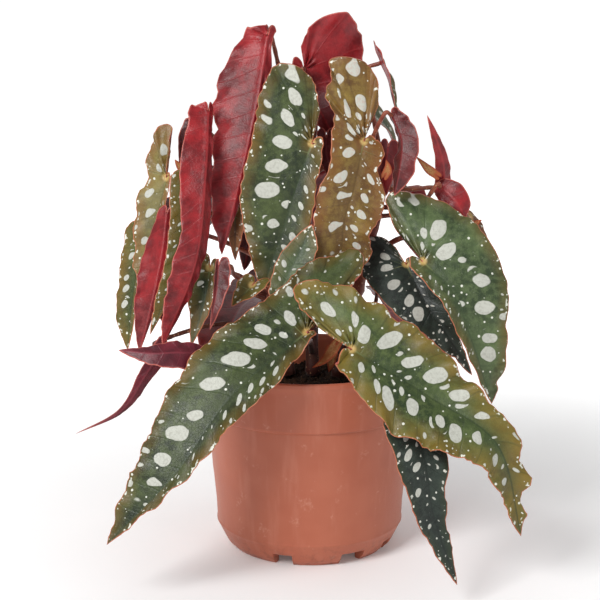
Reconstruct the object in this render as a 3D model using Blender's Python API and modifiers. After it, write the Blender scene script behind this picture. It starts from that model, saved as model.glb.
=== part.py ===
"""Potted spotted begonia: a nursery pot, its soil, three canes with their leaf stalks, leaves and bracts.

Metres, +Z up. The origin is the middle of the pot's foot, and the front of the plant looks along -Y.
The measures below are in millimetres and degrees.
"""

import math
from dataclasses import dataclass

import bmesh
import bpy
import numpy as np

MM = 0.001

# The pot: outer radii up the wall, heights, walls.
POT_HEIGHT = 106.0
FOOT_RADIUS = 45.0
FOOT_HEIGHT = 7.0
BODY_RADIUS = 52.3
BODY_FROM = 13.0
COLLAR_FROM = 78.0
COLLAR_RADIUS = 58.4
RIM_RADIUS = 60.5
RIM_BEAD = 3.0
WALL = 2.0
FLOOR_LOW = 8.0
FLOOR_TOP = 10.0
POT_STEPS = 48
PAD_RADIUS = 9.0
NOTCH_HEIGHT = 6.5
NOTCHES = ((-108.0, 10.0), (-61.0, 13.0), (-29.0, 8.0), (10.0, 13.0), (60.0, 10.0), (105.0, 13.0), (150.0, 10.0))
SOIL_TOP = 92.0
SOIL_GAP = 0.4

# The leaves.
LEAF_THICK = 1.0
STALK_GAP = 0.35
FAN_START = (1.0, 0.93, 0.70, 0.42, 0.14, 0.0, 0.0, 0.0, 0.0, 0.0, 0.0)


@dataclass(frozen=True)
class Leaf:
    """One blade.

    rib: four points of the midrib, from the stalk's end to the tip.
    face: where the upper side looks, as degrees round from the front and degrees up.
    left, right: one half each, as half widths at three quarters, half and a quarter of the length and at
    the stalk, how far the base lobe reaches back behind the stalk, and how far out it ends.
    fold: how steeply each half rises from the midrib. swing: how far the lobes lean aside per mm back.
    fine: how many rays the CAD surface has per step of the outline. thick: the blade's thickness.
    """

    name: str
    rib: tuple
    face: tuple
    left: tuple
    right: tuple
    fold: tuple = (10.0, 10.0)
    swing: float = 0.0
    fine: int = 1
    thick: float = LEAF_THICK


def small(width, lobe):
    """The six measures of a plain half blade of this half width and base lobe."""
    return (0.42 * width, 0.75 * width, width, 0.9 * width, lobe, 0.6 * width)


LEAVES = (
    Leaf("front_left", ((-2, -60, 134), (-40, -84, 107), (-69, -98, 69), (-103, -100, 33)), (-15, 28),
         (19, 27, 31, 29, 54, 20), (5, 11, 14, 5, 4, 3), fold=(5, 15), fine=2),
    Leaf("front_right", ((21, -72, 128), (60, -80, 105), (94, -92, 83), (108, -88, 33)), (10, 32),
         (10, 23, 27, 13, 4, 8), (9, 15, 26, 28, 42, 17), fine=2),
    Leaf("right_big", ((60, -30, 166), (75, -38, 151), (85, -44, 127), (97, -44, 91)), (20, 12),
         (4, 7, 9, 8, 6, 5), (16, 24, 33, 36, 40, 18), fine=2),
    Leaf("right_back", ((53, -6, 160), (62, -20, 143), (76, -26, 122), (89, -22, 101)), (5, 10),
         (5, 12, 20, 25, 24, 15), (4, 8, 8, 5, 3, 3)),
    Leaf("centre_left", ((1, -10, 227), (-8, -13, 202), (-15, -15, 179), (-26, -17, 148)), (0, 15),
         (16, 27, 30, 33, 36, 31), (13, 14, 11, 7, 5, 5), fold=(8, 18), fine=2),
    Leaf("centre_right", ((29, -8, 228), (24, -12, 205), (18, -15, 182), (16, -17, 142)), (10, 15),
         (15, 18, 17, 18, 42, 36), (13, 18, 16, 8, 4, 4), fold=(8, 12), swing=-0.3, fine=2),
    Leaf("centre_back", ((-3, 24, 265), (1, 26, 253), (7, 22, 240), (14, 18, 227)), (175, 10),
         (17, 25, 31, 34, 25, 32), (5, 7, 7, 6, 8, 4), fold=(5, 5)),
    Leaf("centre_low", ((9, 6, 229), (9, 5, 221), (11, 4, 212), (12, 2, 202)), (180, 10),
         small(7, 5), small(6, 5)),
    Leaf("mid_left", ((-15.5, -32, 149.7), (-10.2, -27, 160.7), (-4.3, -24, 172.2), (1, -22, 184.9)), (-10, 25),
         (8, 10, 10, 8, 6, 5), (6, 9, 9, 7, 5, 4)),
    Leaf("mid_ruffled", ((-31, -25, 152), (-34, -28, 149), (-38, -31, 146), (-42, -33, 142)), (-10, 50),
         small(8, 5), (3, 6, 8, 10, 8, 6), fold=(20, 20)),
    Leaf("left_tall", ((-23, 10, 284), (-28, 2, 252), (-36, -6, 215), (-48, -12, 166)), (165, 10),
         (3, 4, 5, 4, 6, 3), (15, 20, 25, 14, 6, 3), fold=(40, 8)),
    Leaf("left_mid", ((-55, -4, 244), (-56, -20, 211), (-61, -34, 166), (-79, -40, 121)), (200, 10),
         (5, 7, 5, 4, 6, 3), (11, 11, 14, 10, 5, 3), fold=(30, 20)),
    Leaf("left_back", ((-63, 20, 235), (-66, 20, 225), (-69, 18, 215), (-74, 16, 204)), (175, 10),
         small(10, 4), small(8, 3)),
    Leaf("far_left_top", ((-79, 4, 207), (-84, 0, 184), (-88, -4, 161), (-94, -8, 138)), (-25, 15),
         (8, 12, 14, 12, 29, 9), (3, 4, 4, 3, 3, 2)),
    Leaf("far_left_low", ((-94, 12, 174), (-97, 8, 153), (-100, 4, 131), (-102, 0, 110)), (-40, 15),
         (10, 12, 12, 12, 7, 8), (4, 6, 6, 6, 4, 3)),
    Leaf("left_red", ((-78, -6, 189), (-81, -12, 165), (-87, -18, 137), (-93, -22, 114)), (165, 10),
         small(5, 3), (10, 13, 12, 6, 4, 3), fold=(20, 20)),
    Leaf("left_tail", ((-78, -30, 120), (-88, -36, 106), (-102, -40, 86), (-127, -40, 73)), (190, 20),
         (1, 3, 5, 7, 4, 4), (1, 2, 4, 6, 4, 4)),
    Leaf("left_flat", ((-59, -62, 123), (-69, -68, 125), (-82, -70, 125), (-99, -66, 126)), (180, -40),
         small(9, 6), small(8, 6)),
    Leaf("left_green", ((-67, -8, 207), (-67, -18, 184), (-72, -28, 158), (-86, -32, 126)), (0, 15),
         (6, 8, 9, 9, 6, 5), small(5, 4)),
    Leaf("low_left_green", ((-54, -20, 161), (-56, -24, 148), (-59, -28, 135), (-64, -32, 120)), (-15, 15),
         small(11, 8), small(6, 5)),
    Leaf("low_left_red", ((-48, -38, 166), (-49, -42, 153), (-51, -46, 142), (-53, -46, 132)), (150, 10),
         small(7, 4), small(3, 3)),
    Leaf("brown", ((-41, -2, 190), (-41, -4, 181), (-41, -5, 172), (-41, -6, 162)), (0, 10),
         small(6, 4), small(6, 4), fold=(25, 25)),
    Leaf("upper_right_edge", ((39, 12, 269), (43, 8, 260), (45, 6, 251), (48, 4, 240)), (70, 10),
         (5, 8, 10, 10, 12, 5), (4, 6, 6, 6, 6, 3), fold=(25, 10)),
    Leaf("upper_right_red", ((44, -10, 242), (49, -18, 229), (48, -22, 215), (45, -22, 200)), (140, 10),
         (7, 9, 9, 6, 4, 3), (6, 7, 4, 3, 3, 2), fold=(25, 25)),
    Leaf("upper_right_low", ((43, 6, 224), (42, 4, 215), (42, 2, 207), (42, 0, 197)), (180, 10),
         small(7, 4), small(5, 4)),
    Leaf("right_narrow", ((73, 0, 199), (73, -2, 213), (69, -4, 227), (63, -6, 242)), (-160, 10),
         small(5, 3), small(5, 3), fold=(20, 20)),
    Leaf("right_red", ((71, -6, 203), (77, -10, 198), (81, -12, 193), (84, -12, 186)), (190, 10),
         (6, 8, 8, 6, 3, 3), (4, 6, 7, 5, 3, 3)),
    Leaf("right_edge", ((89, 8, 185), (93, 6, 180), (97, 4, 174), (100, 2, 168)), (60, 10),
         small(6, 4), small(5, 3)),
    Leaf("low_right", ((47, -76, 102), (57, -90, 77), (62, -98, 47), (74, -104, 13)), (20, 20),
         (7, 13, 17, 14, 8, 6), (5, 9, 14, 13, 6, 6)),
    Leaf("back_right", ((58, 36, 194), (80, 52, 168), (95, 64, 136), (98, 70, 96)), (125, 20),
         (12, 18, 20, 12, 8, 6), (15, 23, 27, 26, 24, 18)),
    Leaf("back_mid", ((2, 48, 204), (0, 76, 184), (-2, 94, 150), (0, 100, 106)), (180, 25),
         (15, 23, 27, 24, 22, 16), (12, 18, 20, 12, 8, 6)),
    Leaf("back_left", ((-54, 46, 194), (-72, 66, 172), (-84, 80, 140), (-86, 84, 100)), (218, 20),
         (12, 18, 20, 12, 8, 6), (15, 23, 27, 26, 24, 18)),
    Leaf("back_low_right", ((40, 46, 136), (58, 74, 118), (70, 92, 86), (74, 98, 46)), (150, 40),
         (12, 20, 24, 24, 30, 18), (9, 14, 16, 8, 5, 5)),
    Leaf("back_low_left", ((-28, 52, 134), (-44, 80, 116), (-54, 96, 84), (-58, 100, 44)), (205, 40),
         (9, 14, 16, 8, 5, 5), (12, 20, 24, 24, 30, 18)),
    Leaf("side_right", ((32, 28, 242), (42, 32, 234), (48, 33, 221), (49, 32, 207)), (80, 20),
         small(9, 7), small(13, 10)),
    Leaf("inner_left", ((-26, 36, 196), (-31, 38, 180), (-35, 39, 164), (-38, 39, 148)), (185, 10),
         small(14, 10), small(13, 10)),
    Leaf("bract_front", ((14, -44, 124), (11, -46, 120), (7, -49, 116), (1, -52, 113)), (-30, 20),
         small(3.5, 3), small(3.5, 3), fold=(12, 12), thick=0.6),
    Leaf("bract_soil", ((11, -34, 118), (11, -35, 115), (11, -36, 111), (10, -37, 107)), (20, 10),
         small(4, 3), small(4, 3), fold=(12, 12), thick=0.6),
    Leaf("bract_left", ((-67, 2, 210), (-70, 2, 212), (-72, 2, 214), (-74, 2, 217)), (0, 20),
         small(3, 3), small(3, 3), fold=(12, 12), thick=0.6),
    Leaf("bract_right", ((86, -4, 179), (88, -5, 181), (91, -6, 183), (94, -7, 185)), (0, 20),
         small(3, 3), small(3, 3), fold=(12, 12), thick=0.6),
    Leaf("bract_upper", ((41, -8, 210), (42, -8, 212), (42, -8, 215), (41, -8, 218)), (0, 10),
         small(2.5, 3), small(2.5, 3), fold=(12, 12), thick=0.6),
    Leaf("bract_side", ((68, -10, 210), (64, -10, 213), (60, -10, 217), (57, -10, 220)), (0, 10),
         small(2.5, 3), small(2.5, 3), fold=(12, 12), thick=0.6),
)


@dataclass(frozen=True)
class Stalk:
    """One leaf stalk: the leaf it holds, where it leaves the cane, the points it passes, and how it ends.

    side is -1 where it meets the blade's under side and 1 where it meets the upper side.
    reach is how far out it lines up with the blade's normal.
    """

    leaf: str
    start: tuple
    via: tuple = ()
    side: int = -1
    reach: float = 11.0
    radius: float = 1.4


@dataclass(frozen=True)
class Cane:
    """One upright stem, as points up its middle and its radius, with its leaf stalks."""

    name: str
    path: tuple
    radius: float
    stalks: tuple


CANES = (
    Cane("cane_left", ((-12, 6, 94.0), (-22, 12, 135), (-32, 16, 180), (-40, 16, 222)), 4.0, (
        Stalk("left_mid", (-38.5, 16, 215), ((-67, 12, 228),), side=1, reach=8.0),
        Stalk("left_back", (-36, 16, 200), ((-50, 28, 222),), side=1),
        Stalk("far_left_top", (-32, 16, 180), ((-54, 18, 198),)),
        Stalk("far_left_low", (-27.5, 14, 160), ((-60, 22, 172),)),
        Stalk("left_red", (-30, 15, 172), ((-56, 12, 186),), side=1, reach=8.0),
        Stalk("left_green", (-34, 16, 190), ((-52, 16, 200),)),
        Stalk("left_flat", (-15, 8, 108), ((-36, -28, 114),), side=1),
        Stalk("left_tail", (-18, 10, 118), ((-50, -4, 126),), side=1),
        Stalk("low_left_green", (-22, 12, 135), ((-38, 0, 152),)),
        Stalk("low_left_red", (-23, 12.5, 139), ((-40, -12, 154),), side=1),
        Stalk("brown", (-33, 16, 185), ()),
        Stalk("back_left", (-32, 16, 178), ()),
        Stalk("inner_left", (-30, 15, 172), ((-24, 24, 184),)),
        Stalk("back_low_left", (-17, 9, 114), ()),
    )),
    Cane("cane_middle", ((2, 10, 93.0), (0, 14, 145), (-2, 14, 195), (2, 14, 238)), 3.6, (
        Stalk("left_tall", (0.5, 14, 222), ((-14, 17, 256),), side=1),
        Stalk("centre_left", (-1, 14, 212), ()),
        Stalk("centre_right", (-1.8, 14, 203), ((15, 12, 218),)),
        Stalk("centre_back", (1.8, 14, 236), ()),
        Stalk("centre_low", (0.5, 14, 224), (), side=1, reach=8.0),
        Stalk("mid_left", (0.5, 13, 130), ((2, -8, 139), (-8, -20, 145)), reach=5.0),
        Stalk("mid_ruffled", (0.5, 12.5, 122), ((-12, -8, 136),), reach=8.0),
        Stalk("front_left", (1.5, 11, 106), ((0, -20, 120),), radius=1.7),
        Stalk("back_mid", (-2, 14, 188), ()),
    )),
    Cane("cane_right", ((16, 2, 94.0), (26, 8, 140), (36, 12, 180), (42, 12, 212)), 3.8, (
        Stalk("front_right", (18, 3, 102), ((19, -28, 112),), radius=1.7),
        Stalk("right_big", (30, 10, 158), ((50, 8, 172), (62, -4, 172)), radius=1.7),
        Stalk("right_back", (28.5, 9, 151), ((42, 8, 156),)),
        Stalk("upper_right_edge", (41.5, 12, 209), ((34, 18, 245),)),
        Stalk("upper_right_red", (40.5, 12, 204), ((33, 4, 222),), reach=6.0),
        Stalk("upper_right_low", (41, 12, 207), (), side=1, reach=8.0),
        Stalk("right_narrow", (40, 12, 200), ((56, 15, 199),), side=1),
        Stalk("right_red", (38, 12, 189), ((60, 2, 192),), reach=7.0),
        Stalk("right_edge", (37, 12, 184), ((60, 18, 184),)),
        Stalk("low_right", (16.8, 2.5, 97), ((26, -30, 112), (38, -58, 112)), reach=7.0),
        Stalk("back_right", (38, 12, 190), ()),
        Stalk("side_right", (40, 12, 201), ((28, 22, 226),)),
        Stalk("back_low_right", (22.5, 6, 122), ()),
    )),
)

MATERIALS = {
    "pot": ((0.52, 0.21, 0.14), 0.45),
    "soil": ((0.03, 0.02, 0.015), 0.95),
    "stem": ((0.36, 0.12, 0.07), 0.5),
    "leaf": ((0.08, 0.13, 0.05), 0.45),
    "bract": ((0.55, 0.30, 0.14), 0.7),
}


def clear_scene():
    """Empties the startup scene."""
    for item in list(bpy.data.objects):
        bpy.data.objects.remove(item)


def make_material(name):
    """The Principled material of one slot."""
    color, roughness = MATERIALS[name]
    material = bpy.data.materials.new(name)
    material.use_nodes = True
    shader = material.node_tree.nodes["Principled BSDF"]
    shader.inputs["Base Color"].default_value = (*color, 1.0)
    shader.inputs["Roughness"].default_value = roughness
    return material


def add_object(name, data, material, collection):
    """A new object with this data and material, in this collection."""
    item = bpy.data.objects.new(name, data)
    item.data.materials.append(material)
    collection.objects.link(item)
    return item


def spline(values, at):
    """A smooth curve through the values, read at these positions counted in values."""
    values = np.asarray(values, float)
    values = np.concatenate([[2 * values[0] - values[1]], values, [2 * values[-1] - values[-2]]])
    low = np.clip(np.floor(at).astype(int), 0, len(values) - 4)
    f = at - low
    a, b, c, d = (values[low + i] for i in range(4))
    return 0.5 * (2 * b + (c - a) * f + (2 * a - 5 * b + 4 * c - d) * f**2 + (3 * b - a - 3 * c + d) * f**3)


def direction(face):
    """The unit vector at this many degrees round from the front and degrees up."""
    turn, rise = np.radians(face)
    return np.array([math.sin(turn) * math.cos(rise), -math.cos(turn) * math.cos(rise), math.sin(rise)])


def rib_frames(leaf):
    """Along the midrib: distances, points, the way to the left half, and the upper side's normal."""
    at = np.linspace(0, 3, 61)
    points = np.stack([spline([p[i] for p in leaf.rib], at) for i in range(3)], -1)
    steps = np.linalg.norm(np.diff(points, axis=0), axis=1)
    arc = np.concatenate([[0.0], np.cumsum(steps)])
    along = np.gradient(points, axis=0)
    along /= np.linalg.norm(along, axis=1)[:, None]
    side = np.cross(along, direction(leaf.face))
    side /= np.linalg.norm(side, axis=1)[:, None]
    return arc, points, along, side, np.cross(side, along)


def half_outline(length, measures, at):
    """A half blade's outline from the tip round the base lobe to the stalk, along and across the midrib."""
    w75, w50, w25, w0, back, out = measures
    along = (length, 0.93 * length, 0.75 * length, 0.5 * length, 0.25 * length, 0.0,
             -0.5 * back, -0.9 * back, -back, -0.88 * back, -0.5 * back)
    across = (0.0, 0.36 * w75, w75, w50, w25, w0,
              0.5 * (w0 + out) + 0.1 * back, out + 0.05 * back, 0.72 * out, 0.35 * out, 0.06 * out)
    return spline(along, at), spline(across, at)


def blade_points(leaf, frames, s, t):
    """Points of the blade's middle surface, s along the midrib and t across it, in millimetres."""
    arc, points, along, side, normal = frames
    back = np.maximum(-s, 0.0)
    t = t + leaf.swing * back
    rise = np.abs(t) * np.sin(np.radians(np.where(t > 0, leaf.fold[0], leaf.fold[1])))
    flat = t * np.cos(np.radians(np.where(t > 0, leaf.fold[0], leaf.fold[1])))

    def read(field):
        return np.stack([np.interp(s, arc, field[:, i]) for i in range(3)], -1)

    return (read(points) - back[..., None] * along[0] + flat[..., None] * read(side)
            + rise[..., None] * read(normal))


def blade_sheet(leaf):
    """Vertices and faces of one blade: rays fan out from the stalk's end and the midrib to the outline."""
    frames = rib_frames(leaf)
    length = frames[0][-1]
    rays = 10 * leaf.fine + 1
    at = np.linspace(0, 10, rays)
    start = np.clip(np.interp(at, np.arange(11.0), FAN_START), 0, 1) * length
    spine = int(np.argmax(start <= 0))
    columns = leaf.fine + 1
    s = [start[: spine + 1]]
    t = [np.zeros(spine + 1)]
    tables = []
    count = spine + 1
    for sign, measures in ((1, leaf.left), (-1, leaf.right)):
        end_s, end_t = half_outline(length, measures, at)
        part = np.arange(1, columns + 1) / columns
        s.append((start[1:, None] + (end_s - start)[1:, None] * part).ravel())
        t.append((sign * np.maximum(end_t, 0.0)[1:, None] * part).ravel())
        table = np.zeros((rays, columns + 1), int)
        table[1:, 1:] = count + np.arange((rays - 1) * columns).reshape(rays - 1, columns)
        table[:, 0] = np.minimum(np.arange(rays), spine)
        tables.append(table if sign > 0 else table[:, ::-1])
        count += (rays - 1) * columns
    vertices = blade_points(leaf, frames, np.concatenate(s), np.concatenate(t))
    return vertices, [face for table in tables for face in table_faces(table)]


def table_faces(table):
    """The faces between neighbouring entries of a vertex table, as triangles where two corners are one."""
    faces = []
    for a, b, c, d in zip(table[:-1, :-1].flat, table[1:, :-1].flat, table[1:, 1:].flat, table[:-1, 1:].flat):
        corners = list(dict.fromkeys((int(a), int(b), int(c), int(d))))
        if len(corners) > 2:
            faces.append(corners)
    return faces


def make_leaf(leaf, material, collection):
    """One blade: its surface, thickened evenly to both sides."""
    vertices, faces = blade_sheet(leaf)
    mesh = bpy.data.meshes.new(leaf.name)
    mesh.from_pydata((vertices * MM).tolist(), [], faces)
    shape = bmesh.new()
    shape.from_mesh(mesh)
    bmesh.ops.recalc_face_normals(shape, faces=shape.faces)
    bmesh.ops.triangulate(shape, faces=shape.faces)
    shape.to_mesh(mesh)
    shape.free()
    item = add_object(leaf.name, mesh, material, collection)
    solid = item.modifiers.new("thickness", "SOLIDIFY")
    solid.thickness = leaf.thick * MM
    solid.offset = 0.0
    solid.use_rim = True


def make_tube(name, path, radius, taper, collection):
    """A round stem through these points, with closed ends, as a mesh object."""
    path = np.asarray(path, float)
    at = np.linspace(0, len(path) - 1, 2 * (len(path) - 1) + 1)
    points = np.stack([spline(path[:, i], at) for i in range(3)], -1) * MM
    curve = bpy.data.curves.new(name, "CURVE")
    curve.dimensions = "3D"
    curve.bevel_depth = radius * MM
    curve.bevel_resolution = 1
    curve.use_fill_caps = True
    line = curve.splines.new("POLY")
    line.points.add(len(points) - 1)
    for i, (point, spot) in enumerate(zip(points, line.points)):
        spot.co = (*point, 1.0)
        spot.radius = 1.0 - (1.0 - taper) * i / (len(points) - 1)
    holder = bpy.data.objects.new(name + "_line", curve)
    collection.objects.link(holder)
    bpy.context.view_layer.update()
    mesh = bpy.data.meshes.new_from_object(holder.evaluated_get(bpy.context.evaluated_depsgraph_get()))
    bpy.data.objects.remove(holder)
    shape = bmesh.new()
    shape.from_mesh(mesh)
    bmesh.ops.remove_doubles(shape, verts=shape.verts, dist=0.00001)
    bmesh.ops.recalc_face_normals(shape, faces=shape.faces)
    shape.to_mesh(mesh)
    shape.free()
    mesh.name = name
    item = bpy.data.objects.new(name, mesh)
    collection.objects.link(item)
    return item


def hide_cutter(item):
    """Keeps a helper out of the render and drawn as wire."""
    item.hide_render = True
    item.display_type = "WIRE"


def add_boolean(item, operation, other):
    """Joins or cuts the item with the other object."""
    step = item.modifiers.new(operation.lower(), "BOOLEAN")
    step.operation = operation
    step.solver = "EXACT"
    step.object = other


def stalk_path(stalk):
    """The points of a stalk, ending just short of its blade and square to it."""
    leaf = next(item for item in LEAVES if item.name == stalk.leaf)
    frames = rib_frames(leaf)
    tip = np.array(leaf.rib[0], float)
    out = stalk.side * frames[4][0]
    near = LEAF_THICK / 2 + STALK_GAP
    if stalk.side > 0:
        near += stalk.radius * math.tan(math.radians(max(leaf.fold)))
    return [stalk.start, *stalk.via, tip + out * stalk.reach, tip + out * near]


def make_cane(cane, material, collection, helpers):
    """One cane and its leaf stalks, joined into one body."""
    item = make_tube(cane.name, cane.path, cane.radius, 0.75, collection)
    item.data.materials.append(material)
    for stalk in cane.stalks:
        helper = make_tube(f"stalk_{stalk.leaf}", stalk_path(stalk), stalk.radius, 0.8, helpers)
        hide_cutter(helper)
        add_boolean(item, "UNION", helper)


def make_turned(name, profile, material, collection):
    """A body turned about the Z axis from a closed or axis-to-axis profile of (radius, height) points."""
    mesh = bpy.data.meshes.new(name)
    points = [(r * MM, 0.0, z * MM) for r, z in profile]
    count = len(points)
    on_axis = profile[0][0] == 0 and profile[-1][0] == 0
    edges = [(i, i + 1) for i in range(count - 1)]
    if not on_axis:
        edges.append((count - 1, 0))
    mesh.from_pydata(points, edges, [])
    item = add_object(name, mesh, material, collection)
    turn = item.modifiers.new("turn", "SCREW")
    turn.steps = POT_STEPS
    turn.render_steps = POT_STEPS
    turn.use_merge_vertices = True
    turn.merge_threshold = 0.00001
    return item


def pot_profile():
    """The pot's section, from the middle of the floor out under the foot, up the outside and down inside."""
    outer = [(FOOT_RADIUS, 0.0), (FOOT_RADIUS + 2.6, 3.0), (FOOT_RADIUS + 4.6, FOOT_HEIGHT),
             (BODY_RADIUS - 0.6, BODY_FROM - 1.5), (BODY_RADIUS, BODY_FROM), (55.0, 45.0),
             (COLLAR_RADIUS - 1.0, COLLAR_FROM - 1.0), (COLLAR_RADIUS, COLLAR_FROM),
             (RIM_RADIUS - 1.1, POT_HEIGHT - RIM_BEAD - 1.0), (RIM_RADIUS, POT_HEIGHT - RIM_BEAD),
             (RIM_RADIUS, POT_HEIGHT - 1.0), (RIM_RADIUS - 0.8, POT_HEIGHT)]
    inner = [(RIM_RADIUS - 2.2, POT_HEIGHT), (RIM_RADIUS - 3.2, POT_HEIGHT - 2.0),
             (COLLAR_RADIUS - WALL, COLLAR_FROM), (55.0 - WALL, 45.0), (BODY_RADIUS - WALL, 14.0),
             (BODY_RADIUS - WALL - 3.0, FLOOR_TOP), (0.0, FLOOR_TOP)]
    under = [(0.0, 0.0), (PAD_RADIUS, 0.0), (PAD_RADIUS + 0.8, FLOOR_LOW), (FOOT_RADIUS - 4.4, FLOOR_LOW),
             (FOOT_RADIUS - 4.0, 0.0)]
    return (under + outer + inner)[::-1]


def make_pot(material, collection, helpers):
    """The nursery pot: a collar above a step, a recessed foot with drain notches, and a middle pad."""
    pot = make_turned("pot", pot_profile(), material, collection)
    for i, (turn, width) in enumerate(NOTCHES):
        bpy.ops.mesh.primitive_cube_add(size=1.0)
        cutter = bpy.context.object
        cutter.name = f"notch_{i}"
        cutter.scale = (20 * MM, width * MM, 2 * NOTCH_HEIGHT * MM)
        angle = math.radians(turn)
        cutter.location = (46 * MM * math.cos(angle), 46 * MM * math.sin(angle), 0.0)
        cutter.rotation_euler = (0.0, 0.0, angle)
        for home in list(cutter.users_collection):
            home.objects.unlink(cutter)
        helpers.objects.link(cutter)
        hide_cutter(cutter)
        add_boolean(pot, "DIFFERENCE", cutter)


def make_soil(material, collection):
    """The potting soil, filling the pot to a little under the rim, with a slight crown."""
    gap = SOIL_GAP
    low = FLOOR_TOP + gap
    profile = [(0.0, SOIL_TOP), (30.0, SOIL_TOP), (52.0, SOIL_TOP - 1.5), (COLLAR_RADIUS - WALL - gap, SOIL_TOP - 4),
               (COLLAR_RADIUS - WALL - gap, COLLAR_FROM), (55.0 - WALL - gap, 45.0),
               (BODY_RADIUS - WALL - gap, 14.0 + gap), (BODY_RADIUS - WALL - 3.5 - gap, low), (0.0, low)]
    make_turned("soil", profile, material, collection)


def main():
    """Builds the plant and its pot."""
    clear_scene()
    plant = bpy.data.collections.new("potted_begonia")
    helpers = bpy.data.collections.new("helpers")
    bpy.context.scene.collection.children.link(plant)
    bpy.context.scene.collection.children.link(helpers)
    slots = {name: make_material(name) for name in MATERIALS}
    make_pot(slots["pot"], plant, helpers)
    make_soil(slots["soil"], plant)
    for cane in CANES:
        make_cane(cane, slots["stem"], plant, helpers)
    for leaf in LEAVES:
        make_leaf(leaf, slots["bract" if leaf.name.startswith("bract") else "leaf"], plant)


main()
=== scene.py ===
"""Looks of the potted polka dot begonia: spotted blades with red undersides on jointed canes, in a nursery pot."""

import logging
import math
from dataclasses import dataclass, field
from enum import Enum

import bpy
import numpy as np
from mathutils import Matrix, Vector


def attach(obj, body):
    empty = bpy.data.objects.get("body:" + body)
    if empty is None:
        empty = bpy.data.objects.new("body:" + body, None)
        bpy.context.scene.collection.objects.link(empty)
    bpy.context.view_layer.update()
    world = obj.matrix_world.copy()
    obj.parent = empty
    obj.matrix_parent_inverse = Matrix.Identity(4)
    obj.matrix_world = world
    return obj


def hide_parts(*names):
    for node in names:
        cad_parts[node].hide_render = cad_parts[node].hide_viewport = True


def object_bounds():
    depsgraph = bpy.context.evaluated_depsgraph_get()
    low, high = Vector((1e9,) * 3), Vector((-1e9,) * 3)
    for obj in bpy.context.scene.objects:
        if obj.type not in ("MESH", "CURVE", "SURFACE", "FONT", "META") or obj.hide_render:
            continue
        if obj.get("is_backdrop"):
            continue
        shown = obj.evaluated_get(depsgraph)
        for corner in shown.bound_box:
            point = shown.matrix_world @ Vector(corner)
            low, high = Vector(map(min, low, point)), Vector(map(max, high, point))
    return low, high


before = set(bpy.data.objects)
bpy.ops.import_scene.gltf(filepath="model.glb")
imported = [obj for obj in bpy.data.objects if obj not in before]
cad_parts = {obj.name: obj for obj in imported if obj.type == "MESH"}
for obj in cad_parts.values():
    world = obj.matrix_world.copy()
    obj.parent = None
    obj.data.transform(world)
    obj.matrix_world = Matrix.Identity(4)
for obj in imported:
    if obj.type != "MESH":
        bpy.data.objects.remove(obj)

MM = 0.001
CAD_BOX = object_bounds()
LOG = logging.getLogger("begonia")


# ---------------------------------------------------------------- shapes


def spline(values: np.ndarray, at: np.ndarray) -> np.ndarray:
    """A Catmull-Rom curve through the values.

    Between values b and c, with neighbours a and d, it is
    0.5 (2b + (c - a) f + (2a - 5b + 4c - d) f^2 + (3b - a - 3c + d) f^3).

    Args:
        values: the numbers or points that the curve passes through.
        at: where to read it, counted in values.

    Returns:
        The curve at those places.
    """
    values = np.asarray(values, float)
    values = np.concatenate([[2 * values[0] - values[1]], values, [2 * values[-1] - values[-2]]])
    low = np.clip(np.floor(at).astype(int), 0, len(values) - 4)
    f = (at - low).reshape((-1,) + (1,) * (values.ndim - 1))
    a, b, c, d = (values[low + i] for i in range(4))
    return 0.5 * (2 * b + (c - a) * f + (2 * a - 5 * b + 4 * c - d) * f**2 + (3 * b - a - 3 * c + d) * f**3)


def smooth_step(value: np.ndarray, low: float, high: float) -> np.ndarray:
    """The smooth step 3x^2 - 2x^3 of value between low and high.

    Args:
        value: what is read.
        low: where the step starts.
        high: where it ends.

    Returns:
        Numbers from 0 to 1.
    """
    x = np.clip((value - low) / (high - low), 0, 1)
    return x * x * (3 - 2 * x)


def grid_triangles(rows: int, columns: int, closed: bool = False) -> np.ndarray:
    """Two triangles for each cell of a grid of points counted row by row.

    Args:
        rows: rows of points.
        columns: points in a row.
        closed: whether the last column joins the first.

    Returns:
        The triangles as rows of three point numbers.
    """
    last = columns if closed else columns - 1
    i, j = np.meshgrid(np.arange(rows - 1), np.arange(last), indexing="ij")
    a, b = i * columns + j, i * columns + (j + 1) % columns
    c, d = b + columns, a + columns
    return np.stack([a, b, c, a, c, d], -1).reshape(-1, 3)


def weld(points: np.ndarray, triangles: np.ndarray) -> tuple[np.ndarray, np.ndarray, np.ndarray]:
    """Makes one point of those in the same place, so that seams and poles are closed.

    Args:
        points: points in millimetres.
        triangles: their triangles.

    Returns:
        The number of the welded point for each point, which point each welded one came from, and which
        triangles still have three corners.
    """
    _, first, index = np.unique(np.round(points, 4), axis=0, return_index=True, return_inverse=True)
    index = index.reshape(-1)
    corners = index[triangles]
    whole = (corners[:, 0] != corners[:, 1]) & (corners[:, 1] != corners[:, 2]) & (corners[:, 2] != corners[:, 0])
    return index, first, whole


def point_normals(points: np.ndarray, triangles: np.ndarray) -> np.ndarray:
    """Each point's normal, as the sum of its triangles' cross products made one long.

    Args:
        points: the points.
        triangles: the triangles, all turned the same way.

    Returns:
        A unit vector for each point.
    """
    a, b, c = (points[triangles[:, i]] for i in range(3))
    cross = np.cross(b - a, c - a)
    total = np.zeros_like(points)
    for i in range(3):
        np.add.at(total, triangles[:, i], cross)
    return total / np.maximum(np.linalg.norm(total, axis=1), 1e-12)[:, None]


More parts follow.
